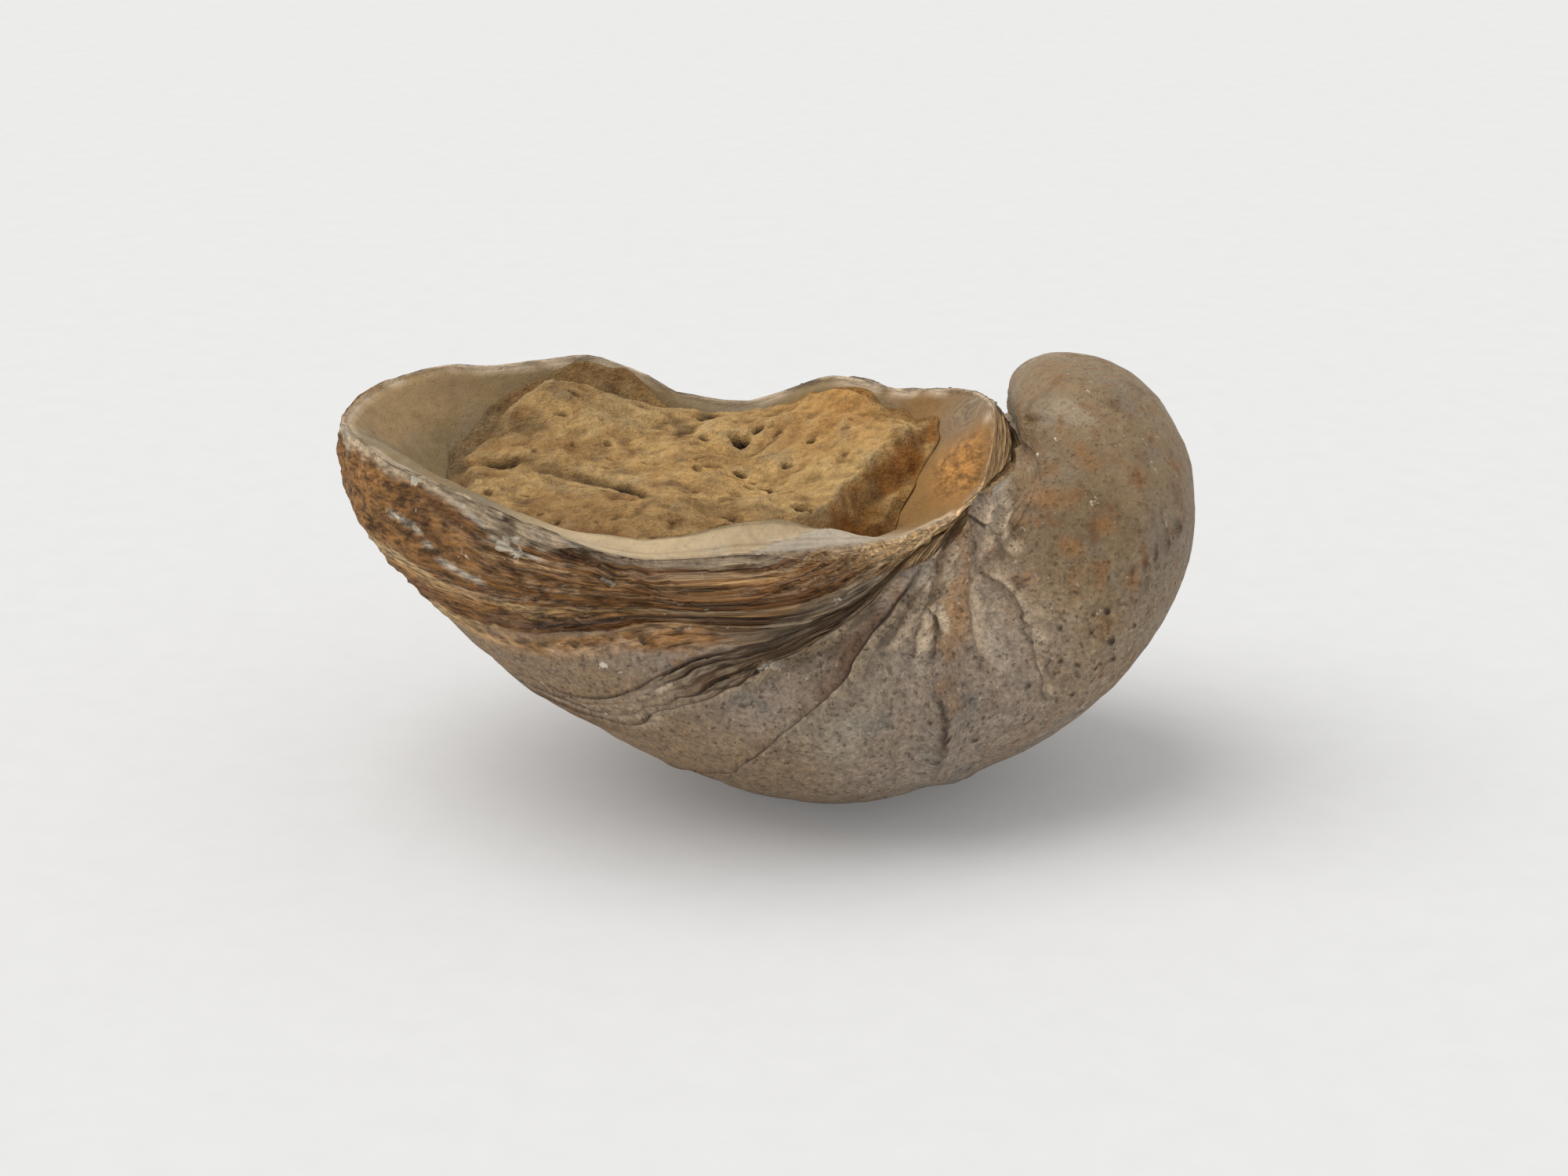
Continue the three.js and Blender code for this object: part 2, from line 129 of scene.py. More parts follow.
# Growth lines that the rows of the grid follow: row and (theta, stage) points. Rows between share the space.
GROWTH_LINES = [
    (14, [(-180, 14), (180, 14)]),
    (18, [
        (-180, 14.6), (-105, 14.5), (-97, 14.6), (-95, 14.9), (-91.7, 16.6), (-89.8, 19), (-82.5, 21),
        (-75.2, 21.7), (-65.3, 23.3), (-57.3, 24), (-50.5, 24.2), (-43.6, 25), (-30, 24), (-10, 20),
        (180, 18),
    ]),
    (22, [
        (-180, 15.6), (-105, 15.8), (-97, 16.4), (-95, 17), (-91.7, 19), (-89.8, 21.3), (-82.5, 23.3),
        (-75.2, 23.9), (-65.3, 24.9), (-57.3, 25.4), (-50.5, 26), (-43.6, 27), (-10, 23), (180, 22),
    ]),
    (27, [
        (-180, 17.2), (-118, 17.4), (-103.6, 17.8), (-97, 18.9), (-93.1, 20.2), (-91.2, 22), (-89, 24),
        (-82.5, 26.3), (-75.2, 26.6), (-65.3, 27.2), (-57.3, 27.6), (-50, 28.2), (-43.6, 29.2), (-10, 27.5),
        (180, 27),
    ]),
    (30, [
        (-180, 19), (-130, 18.4), (-118, 18.5), (-103.6, 18.9), (-97, 20), (-93.1, 21.6), (-90.4, 24),
        (-87.8, 26.6), (-81.8, 28), (-73.9, 28.3), (-67.9, 28.3), (-60.7, 28.6), (-45, 31), (180, 30),
    ]),
    (41.5, [
        (-180, 24), (-135, 22), (-120, 28), (-107.6, 35.5), (-103, 34), (-98.4, 33.4), (-95, 34.6),
        (-93.1, 36.2), (-90.4, 39.6), (-85.1, 40.6), (-75.2, 41.2), (-60, 42), (-51, 43), (-30, 42.5),
        (180, 41.5),
    ]),
    (80, [
        (-180, 74), (-140, 78), (-109, 82), (-98, 81.2), (-95.5, 79.8), (-93.4, 76.4), (-91.4, 73),
        (-90, 70.7), (-87, 69.7), (-80, 69.7), (-69, 70.2), (-55, 72), (-40, 76), (0, 80), (180, 80),
    ]),
    (130, [(-180, 130), (180, 130)]),
    (266, [(-180, 266), (180, 266)]),
]
# Rows of the grid: from row number, to row number, how many.
OUTER_ROWS = [
    (266, 130, 36), (130, 80, 72), (80, 41.5, 72), (41.5, 30, 26), (30, 27, 10), (27, 22, 16), (22, 18, 14),
    (18, 14, 12),
]
# Ledges along growth lines: row, height, mm over which it fades, theta where it is strong, half angle.
LEDGES = [
    (18, 0.60, 1.6, -72, 30),
    (19.6, 0.42, 1.0, -86, 22),
    (22, 0.75, 1.2, -80, 34),
    (24.6, 0.45, 1.0, -86, 24),
    (27, 0.80, 1.6, -76, 42),
    (30, 0.95, 4.0, -84, 34),
    (41.5, 1.30, 7.0, -88, 44),
    (43.4, 0.40, 1.2, -96, 9),
]
FAR_LEDGES = [(22, 0.4, 2), (27, 0.55, 3), (41.5, 0.8, 6), (60, 0.5, 5)]
# Broken edges that cross the growth lines: (theta, stage) points, height, mm over which it fades, groove at
# its foot, rust and painted shade in the groove. The first ones are the plates of the umbo.
PLATES = 2
EDGES = [
    # outer plate of the umbo
    ([
        (-150, 72), (-146, 78), (-136, 88), (-126, 95.5), (-119.5, 98.2), (-110.3, 101.9), (-106, 106),
        (-103, 111), (-99, 114.5), (-95.7, 116.8), (-93.1, 116.9), (-91, 113), (-89.5, 107), (-84, 101),
        (-72, 98), (-64, 99),
    ], 1.40, 7.0, 0.50, 0.1, 0.7),
    # the plate over it
    ([
        (-148, 100), (-141, 105), (-135.4, 108.6), (-129, 109), (-124, 111.5), (-113, 121), (-104, 127),
        (-99, 131),
    ], 0.75, 4.0, 0.30, 0.1, 0.5),
    # crease from the plates down to the furrow
    ([
        (-114, 96), (-110.3, 98.6), (-104, 99.8), (-97.7, 99.2), (-92.4, 94.8), (-89, 89),
    ], 0.70, 3.0, 0.35, 0.3, 0.45),
    # crease beside the tan fold
    ([
        (-128, 26), (-126, 31), (-122, 43), (-115.5, 64), (-107, 75.6), (-102, 78),
    ], 0.95, 3.5, 0.40, 0.2, 0.6),
    # slanting edge below the fold
    ([
        (-109.5, 30), (-107.5, 43), (-104.5, 60), (-101.5, 75.6), (-98, 81.2), (-94, 82),
    ], 0.85, 2.2, 0.35, 0.5, 0.7),
    # short cracks below the furrow
    ([(-102, 70.5), (-100, 72), (-97, 69), (-93.5, 63)], 0.40, 1.4, 0.25, 0.0, 0.6),
    ([(-112, 56), (-108.5, 49), (-104, 52), (-99, 50), (-95, 46)], 0.45, 1.4, 0.25, 0.3, 0.6),
]
FURROW = dict(GROWTH_LINES)[80]
WEDGE_ROW, RECESS_ROW = 41.5, 27.4
# Where the umbo's colour, brown spots and gloss come in: stages.
UMBO_COLOUR, UMBO_SPOTS, UMBO_GLOSS = (92, 135), (80, 130), (112, 190)
# Where the margin turns into the neck, and where the inner ledge is cream: theta.
NECK, CREAM_LEDGE = (-100, -116), (-140, -122, -76, -52)
# Lower edge of the brown band: beyond the margin as a stage, on it as a share of its height.
BAND_FOOT_STAGE = [
    (0, 14), (20, 15), (35, 16.4), (46, 15.8), (56, 16), (63, 16.5), (72.6, 17.4), (76, 18.8), (82.5, 18.5),
    (88, 16.2), (91, 14.2), (104, 14), (112, 17), (120, 36), (135, 60), (148, 84), (180, 90),
]
BAND_FOOT_SHARE = [(0, 0), (90, 0), (93, 0.15), (97, 0.26), (104, 0.27), (112, 0.1), (118, 0), (180, 0)]
# Number of fine layers in the height of the margin: degrees from the tip, count.
LAMINAE = [(0, 12), (30, 14), (60, 22), (95, 21), (115, 14), (140, 9), (180, 7)]
SWIRL_CENTRE = (11.3, 3.8, 31.3)
RUST_PATCH = (10.4, -2.1, 28.0)
# Ragged pale lines across the lip: share of the margin's height against degrees from the tip; first, last.
LIP_LINES = [
    ([(28, 0.70), (34, 0.64), (39.5, 0.60), (42.3, 0.43), (47.7, 0.37), (56, 0.32)], 33, 50),
    ([(44, 0.90), (50.5, 0.85), (54.5, 0.78), (58.6, 0.71), (62.6, 0.67), (70, 0.62)], 49, 66),
]
# Lower edge of the worn pale strip along the crest, and middle of the dark fibrous part.
WORN_EDGE = [
    (0, 0.95), (26, 0.93), (41, 0.93), (48, 0.88), (54, 0.80), (60, 0.74), (68, 0.80), (76, 0.86),
    (90, 0.86), (100, 0.90),
]
DARK_CORE = [(34, 0.84), (38, 0.82), (45, 0.80), (50.5, 0.72), (57, 0.63), (62, 0.58), (70, 0.52)]
# Crumbs stuck to the margin: share of its height, theta, size, height.
CRUMBS = [(0.71, -80.5, 1.5, 0.8), (0.66, -77.5, 0.9, 0.5), (0.60, -80, 1.0, 0.35)]
# Pits of the wall: stage, theta, radius.
PITS = [
    (67, -85, 0.26), (70.6, -79.5, 0.32), (76.1, -78, 0.24), (78.6, -68, 0.38), (80.7, -77, 0.22),
    (75.6, -72.5, 0.24), (94.8, -129, 0.4), (139.8, -61, 0.55), (128.6, -73.5, 0.45), (121.6, -65.5, 0.5),
    (115, -85.5, 0.35), (94.8, -79.5, 0.35), (161, -43.5, 0.55), (132, -64, 0.35), (146, -70, 0.35),
    (125, -78, 0.3), (152, -60, 0.4), (110, -70, 0.35), (118, -58, 0.4), (104, -62, 0.3), (136, -52, 0.4),
    (143, -56, 0.3), (129, -58, 0.3), (113, -63, 0.3), (107, -76, 0.3), (120, -74, 0.3), (149, -65, 0.3),
    (157, -52, 0.35),
]
# Soft orange-brown stains of the umbo: stage, theta, radius.
STAINS = [
    (179, -106, 1.5), (176, -98, 1.7), (175, -91, 1.6), (149, -91, 1.3), (138, -82, 1.5), (190, -67, 1.7),
    (184, -60, 1.2), (107, -113, 1.1), (142, -70, 0.9), (160, -84, 0.9), (126, -92, 1.0), (200, -84, 1.2),
    (132, -76, 0.8),
]
# White chalky spots: stage or share of the margin, theta, radius.
CHALK_ON_WALL = [
    (25.1, -90, 0.9), (26, -87.5, 0.7), (18.6, -64.5, 0.7), (20, -66.5, 0.4), (24.6, -41, 0.5),
    (228.1, -33.5, 0.45), (211.5, -54.5, 0.35), (224.6, -1.5, 0.4), (251.4, 1, 0.35), (214.5, 132, 0.5),
    (245, -20, 0.3), (14.8, -85, 0.6), (22, -78, 0.4), (200, -70, 0.3), (27, -89, 0.6), (171.6, -89.5, 0.8),
    (222, -88, 0.4), (226, -98, 0.4),
]
CHALK_ON_MARGIN = [
    (0.76, -60.5, 0.7), (0.8, -63, 0.5), (0.95, -41.5, 0.5), (0.14, -99.5, 0.6), (0.32, -90, 0.4),
    (0.53, -49, 0.4), (0.68, -58.6, 0.7), (0.67, -62, 0.8), (0.93, -40.9, 0.6), (0.97, -26, 0.6),
    (0.97, -32, 0.4), (0.9, -52, 0.35), (0.64, -39, 0.35), (0.85, -68, 0.4), (0.2, -84, 0.35),
    (0.3, -72, 0.3),
]

# Heights of the low relief in mm.
FOLD_HEIGHT, WEDGE_DEPTH, RECESS_DEPTH = 0.8, 0.7, 0.5
FURROW_DEPTH, FURROW_CORE_DEPTH = 0.5, 0.6
NECK_SWELL, LOW_CREVICE_DEPTH = 0.9, 0.6
LIP_LINE_STEP, LEDGE_LAYER_STEP = 0.3, 0.35
BROAD_GRAIN, SMALL_GRAIN, BAND_GRAIN = 0.24, 0.07, 0.10
# Points that pass the CAD box less this many mm are eased back into it.
BOX_EASE = 0.5


def smooth(low, high, x):
    """Smooth step from 0 at `low` to 1 at `high`; it falls if `low` is the larger."""
    u = np.clip((x - low) / (high - low), 0, 1)
    return u * u * (3 - 2 * u)


def bell(x, middle, spread):
    """Bell curve that is 1 at `middle`."""
    return np.exp(-((x - middle) / spread) ** 2)


def between(x, outer_low, low, high, outer_high):
    """1 from `low` to `high`, falling softly to 0 at the outer limits."""
    return smooth(outer_low, low, x) * smooth(outer_high, high, x)


def curve(points):
    """Monotone cubic curve through (x, y) points."""
    x, y = np.array(points, float).T
    steps = np.diff(x)
    secants = np.diff(y) / steps
    slopes = np.empty_like(x)
    slopes[0], slopes[-1] = secants[0], secants[-1]
    before, after = secants[:-1], secants[1:]
    total = np.where(before * after > 0, before + after, 1)
    slopes[1:-1] = np.where(before * after > 0, 2 * before * after / total, 0)

    def value(q):
        q = np.clip(q, x[0], x[-1])
        i = np.clip(np.searchsorted(x, q) - 1, 0, len(x) - 2)
        u = (q - x[i]) / steps[i]
        u2, u3 = u * u, u * u * u
        return ((2 * u3 - 3 * u2 + 1) * y[i] + (u3 - 2 * u2 + u) * steps[i] * slopes[i]
                + (3 * u2 - 2 * u3) * y[i + 1] + (u3 - u2) * steps[i] * slopes[i + 1])

    return value


radius_at, width_at, hinge_width_at, clearance_at = [curve(STAGES[:, [0, k]]) for k in (1, 2, 3, 4)]
bunched, advanced, crest_height = curve(BUNCHING), curve(LIP_ADVANCE), curve(CREST)
ledge_rise, fill_reach = curve(LEDGE_RISE), curve(FILL_REACH)


def on_loop(stage, theta):
    """Reach and side of a point of the rounded loop of a growth plane."""
    c, s = np.cos(theta), np.sin(theta)
    low, high = HINGE_SQUARENESS
    power = np.where(c > 0, 2 / LIP_SQUARENESS, 2 / (low + (high - low) * smooth(46, 100, stage)))
    return (1 + np.sign(c) * np.abs(c) ** power) / 2, np.sign(s) * np.abs(s) ** power


def place(angle, reach, side):
    """Point of a growth plane: `reach` from the axis side to the lip, `side` from -1 to 1 across."""
    clearance = clearance_at(angle)
    r = clearance + (radius_at(angle) - clearance) * reach
    hinge_width = hinge_width_at(angle)
    y = side * (hinge_width + (width_at(angle) - hinge_width) * smooth(-0.12, 0.55, reach))
    lobe = 1 + FAR_LOBE * bell(reach, FAR_LOBE_REACH, 0.2) * smooth(80, 30, angle)
    y = np.where(y > 0, y * lobe, y) + BEAK_DRIFT * smooth(200, 300, angle)
    bow = np.where(y < 0, FLANK_BOW_NEAR, FLANK_BOW_FAR) * y * y * bell(r, 0, 13)
    turn = np.radians(angle)
    return np.stack([HINGE_X - bow - r * np.cos(turn), y, HINGE_Z - r * np.sin(turn)], -1)


def wall(stage, theta):
    """Point of the outside of the shell."""
    reach, side = on_loop(stage, theta)
    flank = smooth(0, 0.35, np.abs(side)) * np.where(side < 0, 1, FAR_BUNCHING)
    near_hinge = smooth(0.62, 0.2, reach) * flank
    near_lip = smooth(0.8, 0.98, reach)
    angle = stage + (bunched(stage) - stage) * near_hinge + (advanced(stage) - stage) * near_lip
    return place(angle, reach, side)


def outward_from_bowl(points):
    """Level direction from the middle of the hollow, one unit long."""
    out = points * [1, 1, 0] - [BOWL_X, 0, 0]
    return out / np.linalg.norm(out, axis=-1, keepdims=True)


def crest(theta):
    """Point of the crest round the mouth."""
    reach, side = on_loop(0 * theta, theta)
    point = place(0 * theta, reach, side)
    inset = CREST_INSET + CREST_INSET_AT_SIDES * between(reach, 0.02, 0.4, 0.8, 1)
    point = point - outward_from_bowl(point) * inset[..., None]
    point[..., 2] = HINGE_Z + crest_height(np.degrees(theta))
    return point


def margin(rise, theta):
    """Point of the thick margin between its foot and the crest."""
    foot = wall(LAMINA_STAGE + 0 * theta, theta)
    point = foot + (crest(theta) - foot) * rise[..., None]
    reach, _ = on_loop(0 * theta, theta)
    bulge = (MARGIN_BULGE + MARGIN_BULGE_AT_LIP * smooth(0.8, 1, reach)) * np.sin(np.pi * rise)
    return point + outward_from_bowl(point) * bulge[..., None]


def hollow(reach, theta):
    """Point of the hollow between its middle and the crest, with the inner ledge along the rim."""
    edge = crest(theta)
    rise = ledge_rise(np.degrees(theta))
    shelf = SHELF_REACH - SHELF_WIDENING * np.maximum(0, -np.sin(theta))
    steepness = BOWL_STEEPNESS + BOWL_STEEPER_AT_SIDES * np.sin(theta) ** 2
    depth = (edge[..., 2] + rise - BOWL_FLOOR_Z) * (1 - np.clip(reach / shelf, 0, 1) ** steepness)
    z = edge[..., 2] + rise * np.clip((1 - reach) / (1 - shelf), 0, 1) - depth
    return np.stack([BOWL_X + (edge[..., 0] - BOWL_X) * reach, edge[..., 1] * reach, z], -1)


# ---------------------------------------------------------------- noise

def lattice(ix, iy, iz, seed):
    """Random number from -1 to 1 for each whole point of space."""
    n = (ix * 73856093) ^ (iy * 19349663) ^ (iz * 83492791) ^ (seed * 15485863)
    n = ((n ^ (n >> 13)) * 1274126177) & 0xFFFFFFFF
    n = ((n ^ (n >> 16)) * 2246822519) & 0xFFFFFFFF
    return ((n >> 8) & 0xFFFF) / 32767.5 - 1


def noise(points, size, seed):
    """Smooth value noise from -1 to 1; `size` is the feature size, a number or one for each axis."""
    q = points / np.asarray(size, float)
    cell = np.floor(q).astype(np.int64)
    u = q - cell
    u = u * u * (3 - 2 * u)
    total = 0
    for dx in (0, 1):
        for dy in (0, 1):
            for dz in (0, 1):
                corner = np.array([dx, dy, dz])
                at = cell + corner
                weight = np.abs(1 - corner - u).prod(-1)
                total = total + weight * lattice(at[..., 0], at[..., 1], at[..., 2], seed)
    return total


def fractal(points, size, seed, octaves=4):
    """Sum of noise, each octave with half the size and half the strength of the one before."""
    size = np.asarray(size, float)
    return sum(noise(points, size / 2 ** k, seed + k) / 2 ** k for k in range(octaves))


def seeded(index, seed):
    """Random number from 0 to 1 for each integer of `index`."""
    index = index.astype(np.int64)
    return 0.5 + 0.5 * lattice(index, index * 0 + 7, index * 0 + 3, seed)


# ---------------------------------------------------------------- grids and meshes

def grid_normals(p):
    around = np.roll(p, -1, axis=1) - np.roll(p, 1, axis=1)
    n = np.cross(around, np.gradient(p, axis=0))
    return n / np.maximum(np.linalg.norm(n, axis=-1, keepdims=True), 1e-9)


def blurred(values, reach):
    """Mean of `values` over a square of the grid; the rows stop at their ends and the columns go round."""
    rows, window = len(values), 2 * reach + 1
    padded = np.pad(values, ((reach, reach), (0, 0)), mode="edge")
    values = sum(padded[k:k + rows] for k in range(window)) / window
    return sum(np.roll(values, k - reach, 1) for k in range(window)) / window


def excess(over):
    """How far to go back from `over` past a limit so as to stay less than BOX_EASE past it."""
    over = np.maximum(over, 0)
    return over - BOX_EASE * (1 - np.exp(-over / BOX_EASE))


def within_cad_box(p):
    """Eases the points that pass the sides or the top of the CAD box back into it."""
    for axis in range(3):
        p[..., axis] -= excess(p[..., axis] - (CAD_HIGH[axis] * 1000 - BOX_EASE))
        if axis < 2:
            p[..., axis] += excess((CAD_LOW[axis] * 1000 + BOX_EASE) - p[..., axis])
    return p


def spot_distance(points, centre):
    return np.linalg.norm(points - np.asarray(centre), axis=-1)


def linked(name, data):
    """New object, put in the scene."""
    thing = bpy.data.objects.new(name, data)
    bpy.context.scene.collection.objects.link(thing)
    return thing


def closed_mesh(name, first, grid, last):
    """Object with the mesh of a grid of rings closed by a point at either end."""
    rows, around, _ = grid.shape
    points = np.concatenate([first[None], grid.reshape(-1, 3), last[None]]) / 1000
    here = 1 + np.arange(rows * around).reshape(rows, around)
    beside = np.roll(here, -1, axis=1)
    quads = np.stack([here[:-1], here[1:], beside[1:], beside[:-1]], -1).reshape(-1, 4)
    start = np.stack([np.zeros(around, int), here[0], beside[0]], -1)
    end = np.stack([np.full(around, len(points) - 1), beside[-1], here[-1]], -1)
    mesh = bpy.data.meshes.new(name)
    mesh.from_pydata(points.tolist(), [], quads.tolist() + start.tolist() + end.tolist())
    mesh.shade_smooth()
    mesh.update()
    return linked(name, mesh)


def give_attribute(piece, name, kind, grid):
    """Stores a value for each grid point; the two end points take the mean of the ring beside them."""
    width = grid.shape[-1]
    values = np.concatenate([grid[0].mean(0)[None], grid.reshape(-1, width), grid[-1].mean(0)[None]])
    field = "vector"
    if kind == "FLOAT_COLOR":
        values = np.concatenate([values, np.ones((len(values), 4 - width))], 1)
        field = "color"
    attribute = piece.data.attributes.new(name, kind, "POINT")
    attribute.data.foreach_set(field, values.astype(np.float32).ravel())


# ---------------------------------------------------------------- colours

def srgb(red, green, blue):
    """Linear colour of an sRGB colour given from 0 to 255."""
    c = np.array([red, green, blue]) / 255
    return np.where(c <= 0.04045, c / 12.92, ((c + 0.055) / 1.055) ** 2.4)


GREY_TAN = srgb(172, 154, 136)
WARM_TAN = srgb(164, 142, 118)
UMBO_TAN = srgb(148, 123, 88)
COOL_GREY = srgb(150, 140, 126)
BLUE_GREY = srgb(140, 140, 138)
PALE = srgb(206, 192, 168)
CHALK = srgb(234, 222, 200)
BROWN = srgb(122, 92, 62)
DARK_BROWN = srgb(60, 42, 28)
SPOT_BROWN = srgb(140, 94, 50)
STAIN = srgb(168, 122, 74)
FOLD_BROWN = srgb(176, 138, 96)
PALE_RIM = srgb(230, 206, 176)
LAYER_DARK = srgb(108, 67, 33)
LAYER_TAN = srgb(202, 146, 82)
LAYER_PALE = srgb(238, 204, 148)
# Brown of the wedge below the wide ledge: stain and painted shadow.
WEDGE_BROWN = srgb(96, 66, 46)
# Tan of the neck, painted lighter than the strands are, to lift the shade under the umbo.
NECK_TAN = srgb(255, 214, 156)
# Rust and painted shade in the gaps of the bundle.
GROOVE_RUST_AND_SHADE = srgb(136, 92, 52)
STRAND_TAN = srgb(208, 174, 132)
STRAND_GREY = srgb(182, 162, 138)
WORN_PALE = srgb(214, 192, 160)
LIP_TAN = srgb(168, 138, 102)
FIBRE_TAN = srgb(172, 124, 70)
OCHRE = srgb(226, 180, 114)
LIGHT_OCHRE = srgb(244, 204, 138)
PALE_OCHRE = srgb(222, 192, 140)
DEEP_OCHRE = srgb(148, 106, 62)
EARTH_GREY = srgb(142, 124, 98)
CLIFF_BROWN = srgb(172, 110, 46)
EARTH_BROWN = srgb(184, 146, 96)
RUST = srgb(200, 142, 74)
PINKISH = srgb(216, 190, 166)
FAR_LIP = srgb(190, 158, 112)
INNER_GREY = srgb(152, 129, 92)
LEDGE_CREAM = srgb(207, 183, 144)
LEDGE_SHADE = srgb(204, 190, 168)
HINGE_BEIGE = srgb(152, 115, 66)
# Share by which the middle of the band is lighter: red, green, blue.
BAND_WARMTH = np.array((0.18, 0.12, 0.05))


def painted(tone, points, coats):
    """Lays coats of colour over a tone. Each coat has a colour and a mask. If noise breaks it up, then the
    noise's size, seed and octaves follow, and the two values between which the coat comes in.
    """
    for colour, mask, *patches in coats:
        if patches:
            size, seed, octaves, low, high = patches
            mask = mask * smooth(low, high, fractal(points, size, seed, octaves))
        tone = tone + (colour - tone) * np.clip(mask, 0, 1)[..., None]
    return tone


# ---------------------------------------------------------------- valve

# Columns of the grid: from theta, to theta, how many.
COLUMNS = [(-180, -142, 20), (-142, -60, 124), (-60, 0, 44), (0, 180, 62)]
# Rows of the round end of the beak: degrees from the last loop towards the tip.
CAP_ANGLES = [72, 54, 38, 24, 12]
MARGIN_ROWS = 78
HOLLOW_REACH = np.concatenate([np.linspace(0.99, 0.8, 18), np.linspace(0.77, 0.08, 12)])
LEDGE_HALF_ROW = 0.12
# Ledges from this row on stand clear of the bunched ones.
FIRST_WIDE_ROW = 41
# Frame in which the layers lie flat: its radius, and mm of its height for a row, the margin and the hollow.
STRATA_RADIUS, STRATA_PER_ROW, STRATA_MARGIN, STRATA_HOLLOW = 24, 0.45, 9, 12
# Fine layers in a coarse one.
COARSE_LAYER = 3.3


def outer_rows():
    """Numbers of the rows from the beak to the margin, with two close rows at the edge of each ledge."""
    rows = np.concatenate([np.linspace(a, b, n, endpoint=False) for a, b, n in OUTER_ROWS])
    edges = np.array([ledge[0] for ledge in LEDGES])
    return np.unique(np.concatenate([rows, edges - LEDGE_HALF_ROW, edges + LEDGE_HALF_ROW]).round(3))[::-1]


def row_stage(row, theta):
    """Stage that a row of the grid has at each theta: it follows the growth lines and wavers a little."""
    numbers = np.array([number for number, _ in GROWTH_LINES], float)
    lines = np.stack([curve(points)(np.degrees(theta)) for _, points in GROWTH_LINES])
    k = np.clip(np.searchsorted(numbers, row) - 1, 0, len(numbers) - 2)
    share = (row - numbers[k]) / (numbers[k + 1] - numbers[k])
    low = np.take_along_axis(lines, k[None], 0)[0]
    high = np.take_along_axis(lines, k[None] + 1, 0)[0]
    round_shell = np.stack([22 * np.cos(theta), 22 * np.sin(theta), row / 9], -1)
    waver = 0.6 * noise(round_shell, (5, 5, 1), 11) + 0.25 * noise(round_shell, (1.6, 1.6, 1), 12)
    return low + share * (high - low) + waver * between(row, 18, 24, 80, 110)


def beak_cap(shrink, theta):
    """Point of the round end of the beak; `shrink` is 0 at the last loop and a right angle at the tip."""
    reach, side = on_loop(BEAK_STAGE + 0 * theta, theta)
    stage = BEAK_STAGE + BEAK_CAP * np.sin(shrink)
    return place(stage, 0.5 + (reach - 0.5) * np.cos(shrink), side * np.cos(shrink))


class Layers:
    """Stack of thin layers: how far each stands out, the crevices between them, their edges and tones.

    `count` is the number of layers up to each point, before it wavers with the place `along` the shell.
    """

    def __init__(self, count, along, seed):
        count = count + 0.7 * noise(along, (11, 11, 2.6), seed) + 0.3 * noise(along, (3, 3, 1.2), seed + 1)
        count = count + 0.2 * noise(along, (0.9, 0.9, 0.6), seed + 2)
        index = np.floor(count)
        part = count - index
        stretch = np.stack([along[..., 0], along[..., 1], index * 5.3], -1)
        opening = np.clip(0.55 + 0.9 * noise(stretch, (3, 3, 1), seed + 3), 0, 1)
        self.gap = np.maximum(smooth(0.22, 0.0, part), smooth(0.9, 1.0, part)) * opening
        self.stand = seeded(index, seed + 4) * 0.6 + 0.5 * noise(stretch, (1.6, 1.6, 1), seed + 5)
        self.tip = between(part, 0.45, 0.7, 0.85, 0.98)
        mottle = (1 + noise(stretch, (4, 4, 1), seed + 7)) / 2
        self.tone = np.clip(0.75 * seeded(index, seed + 6) + 0.25 * mottle, 0, 1)


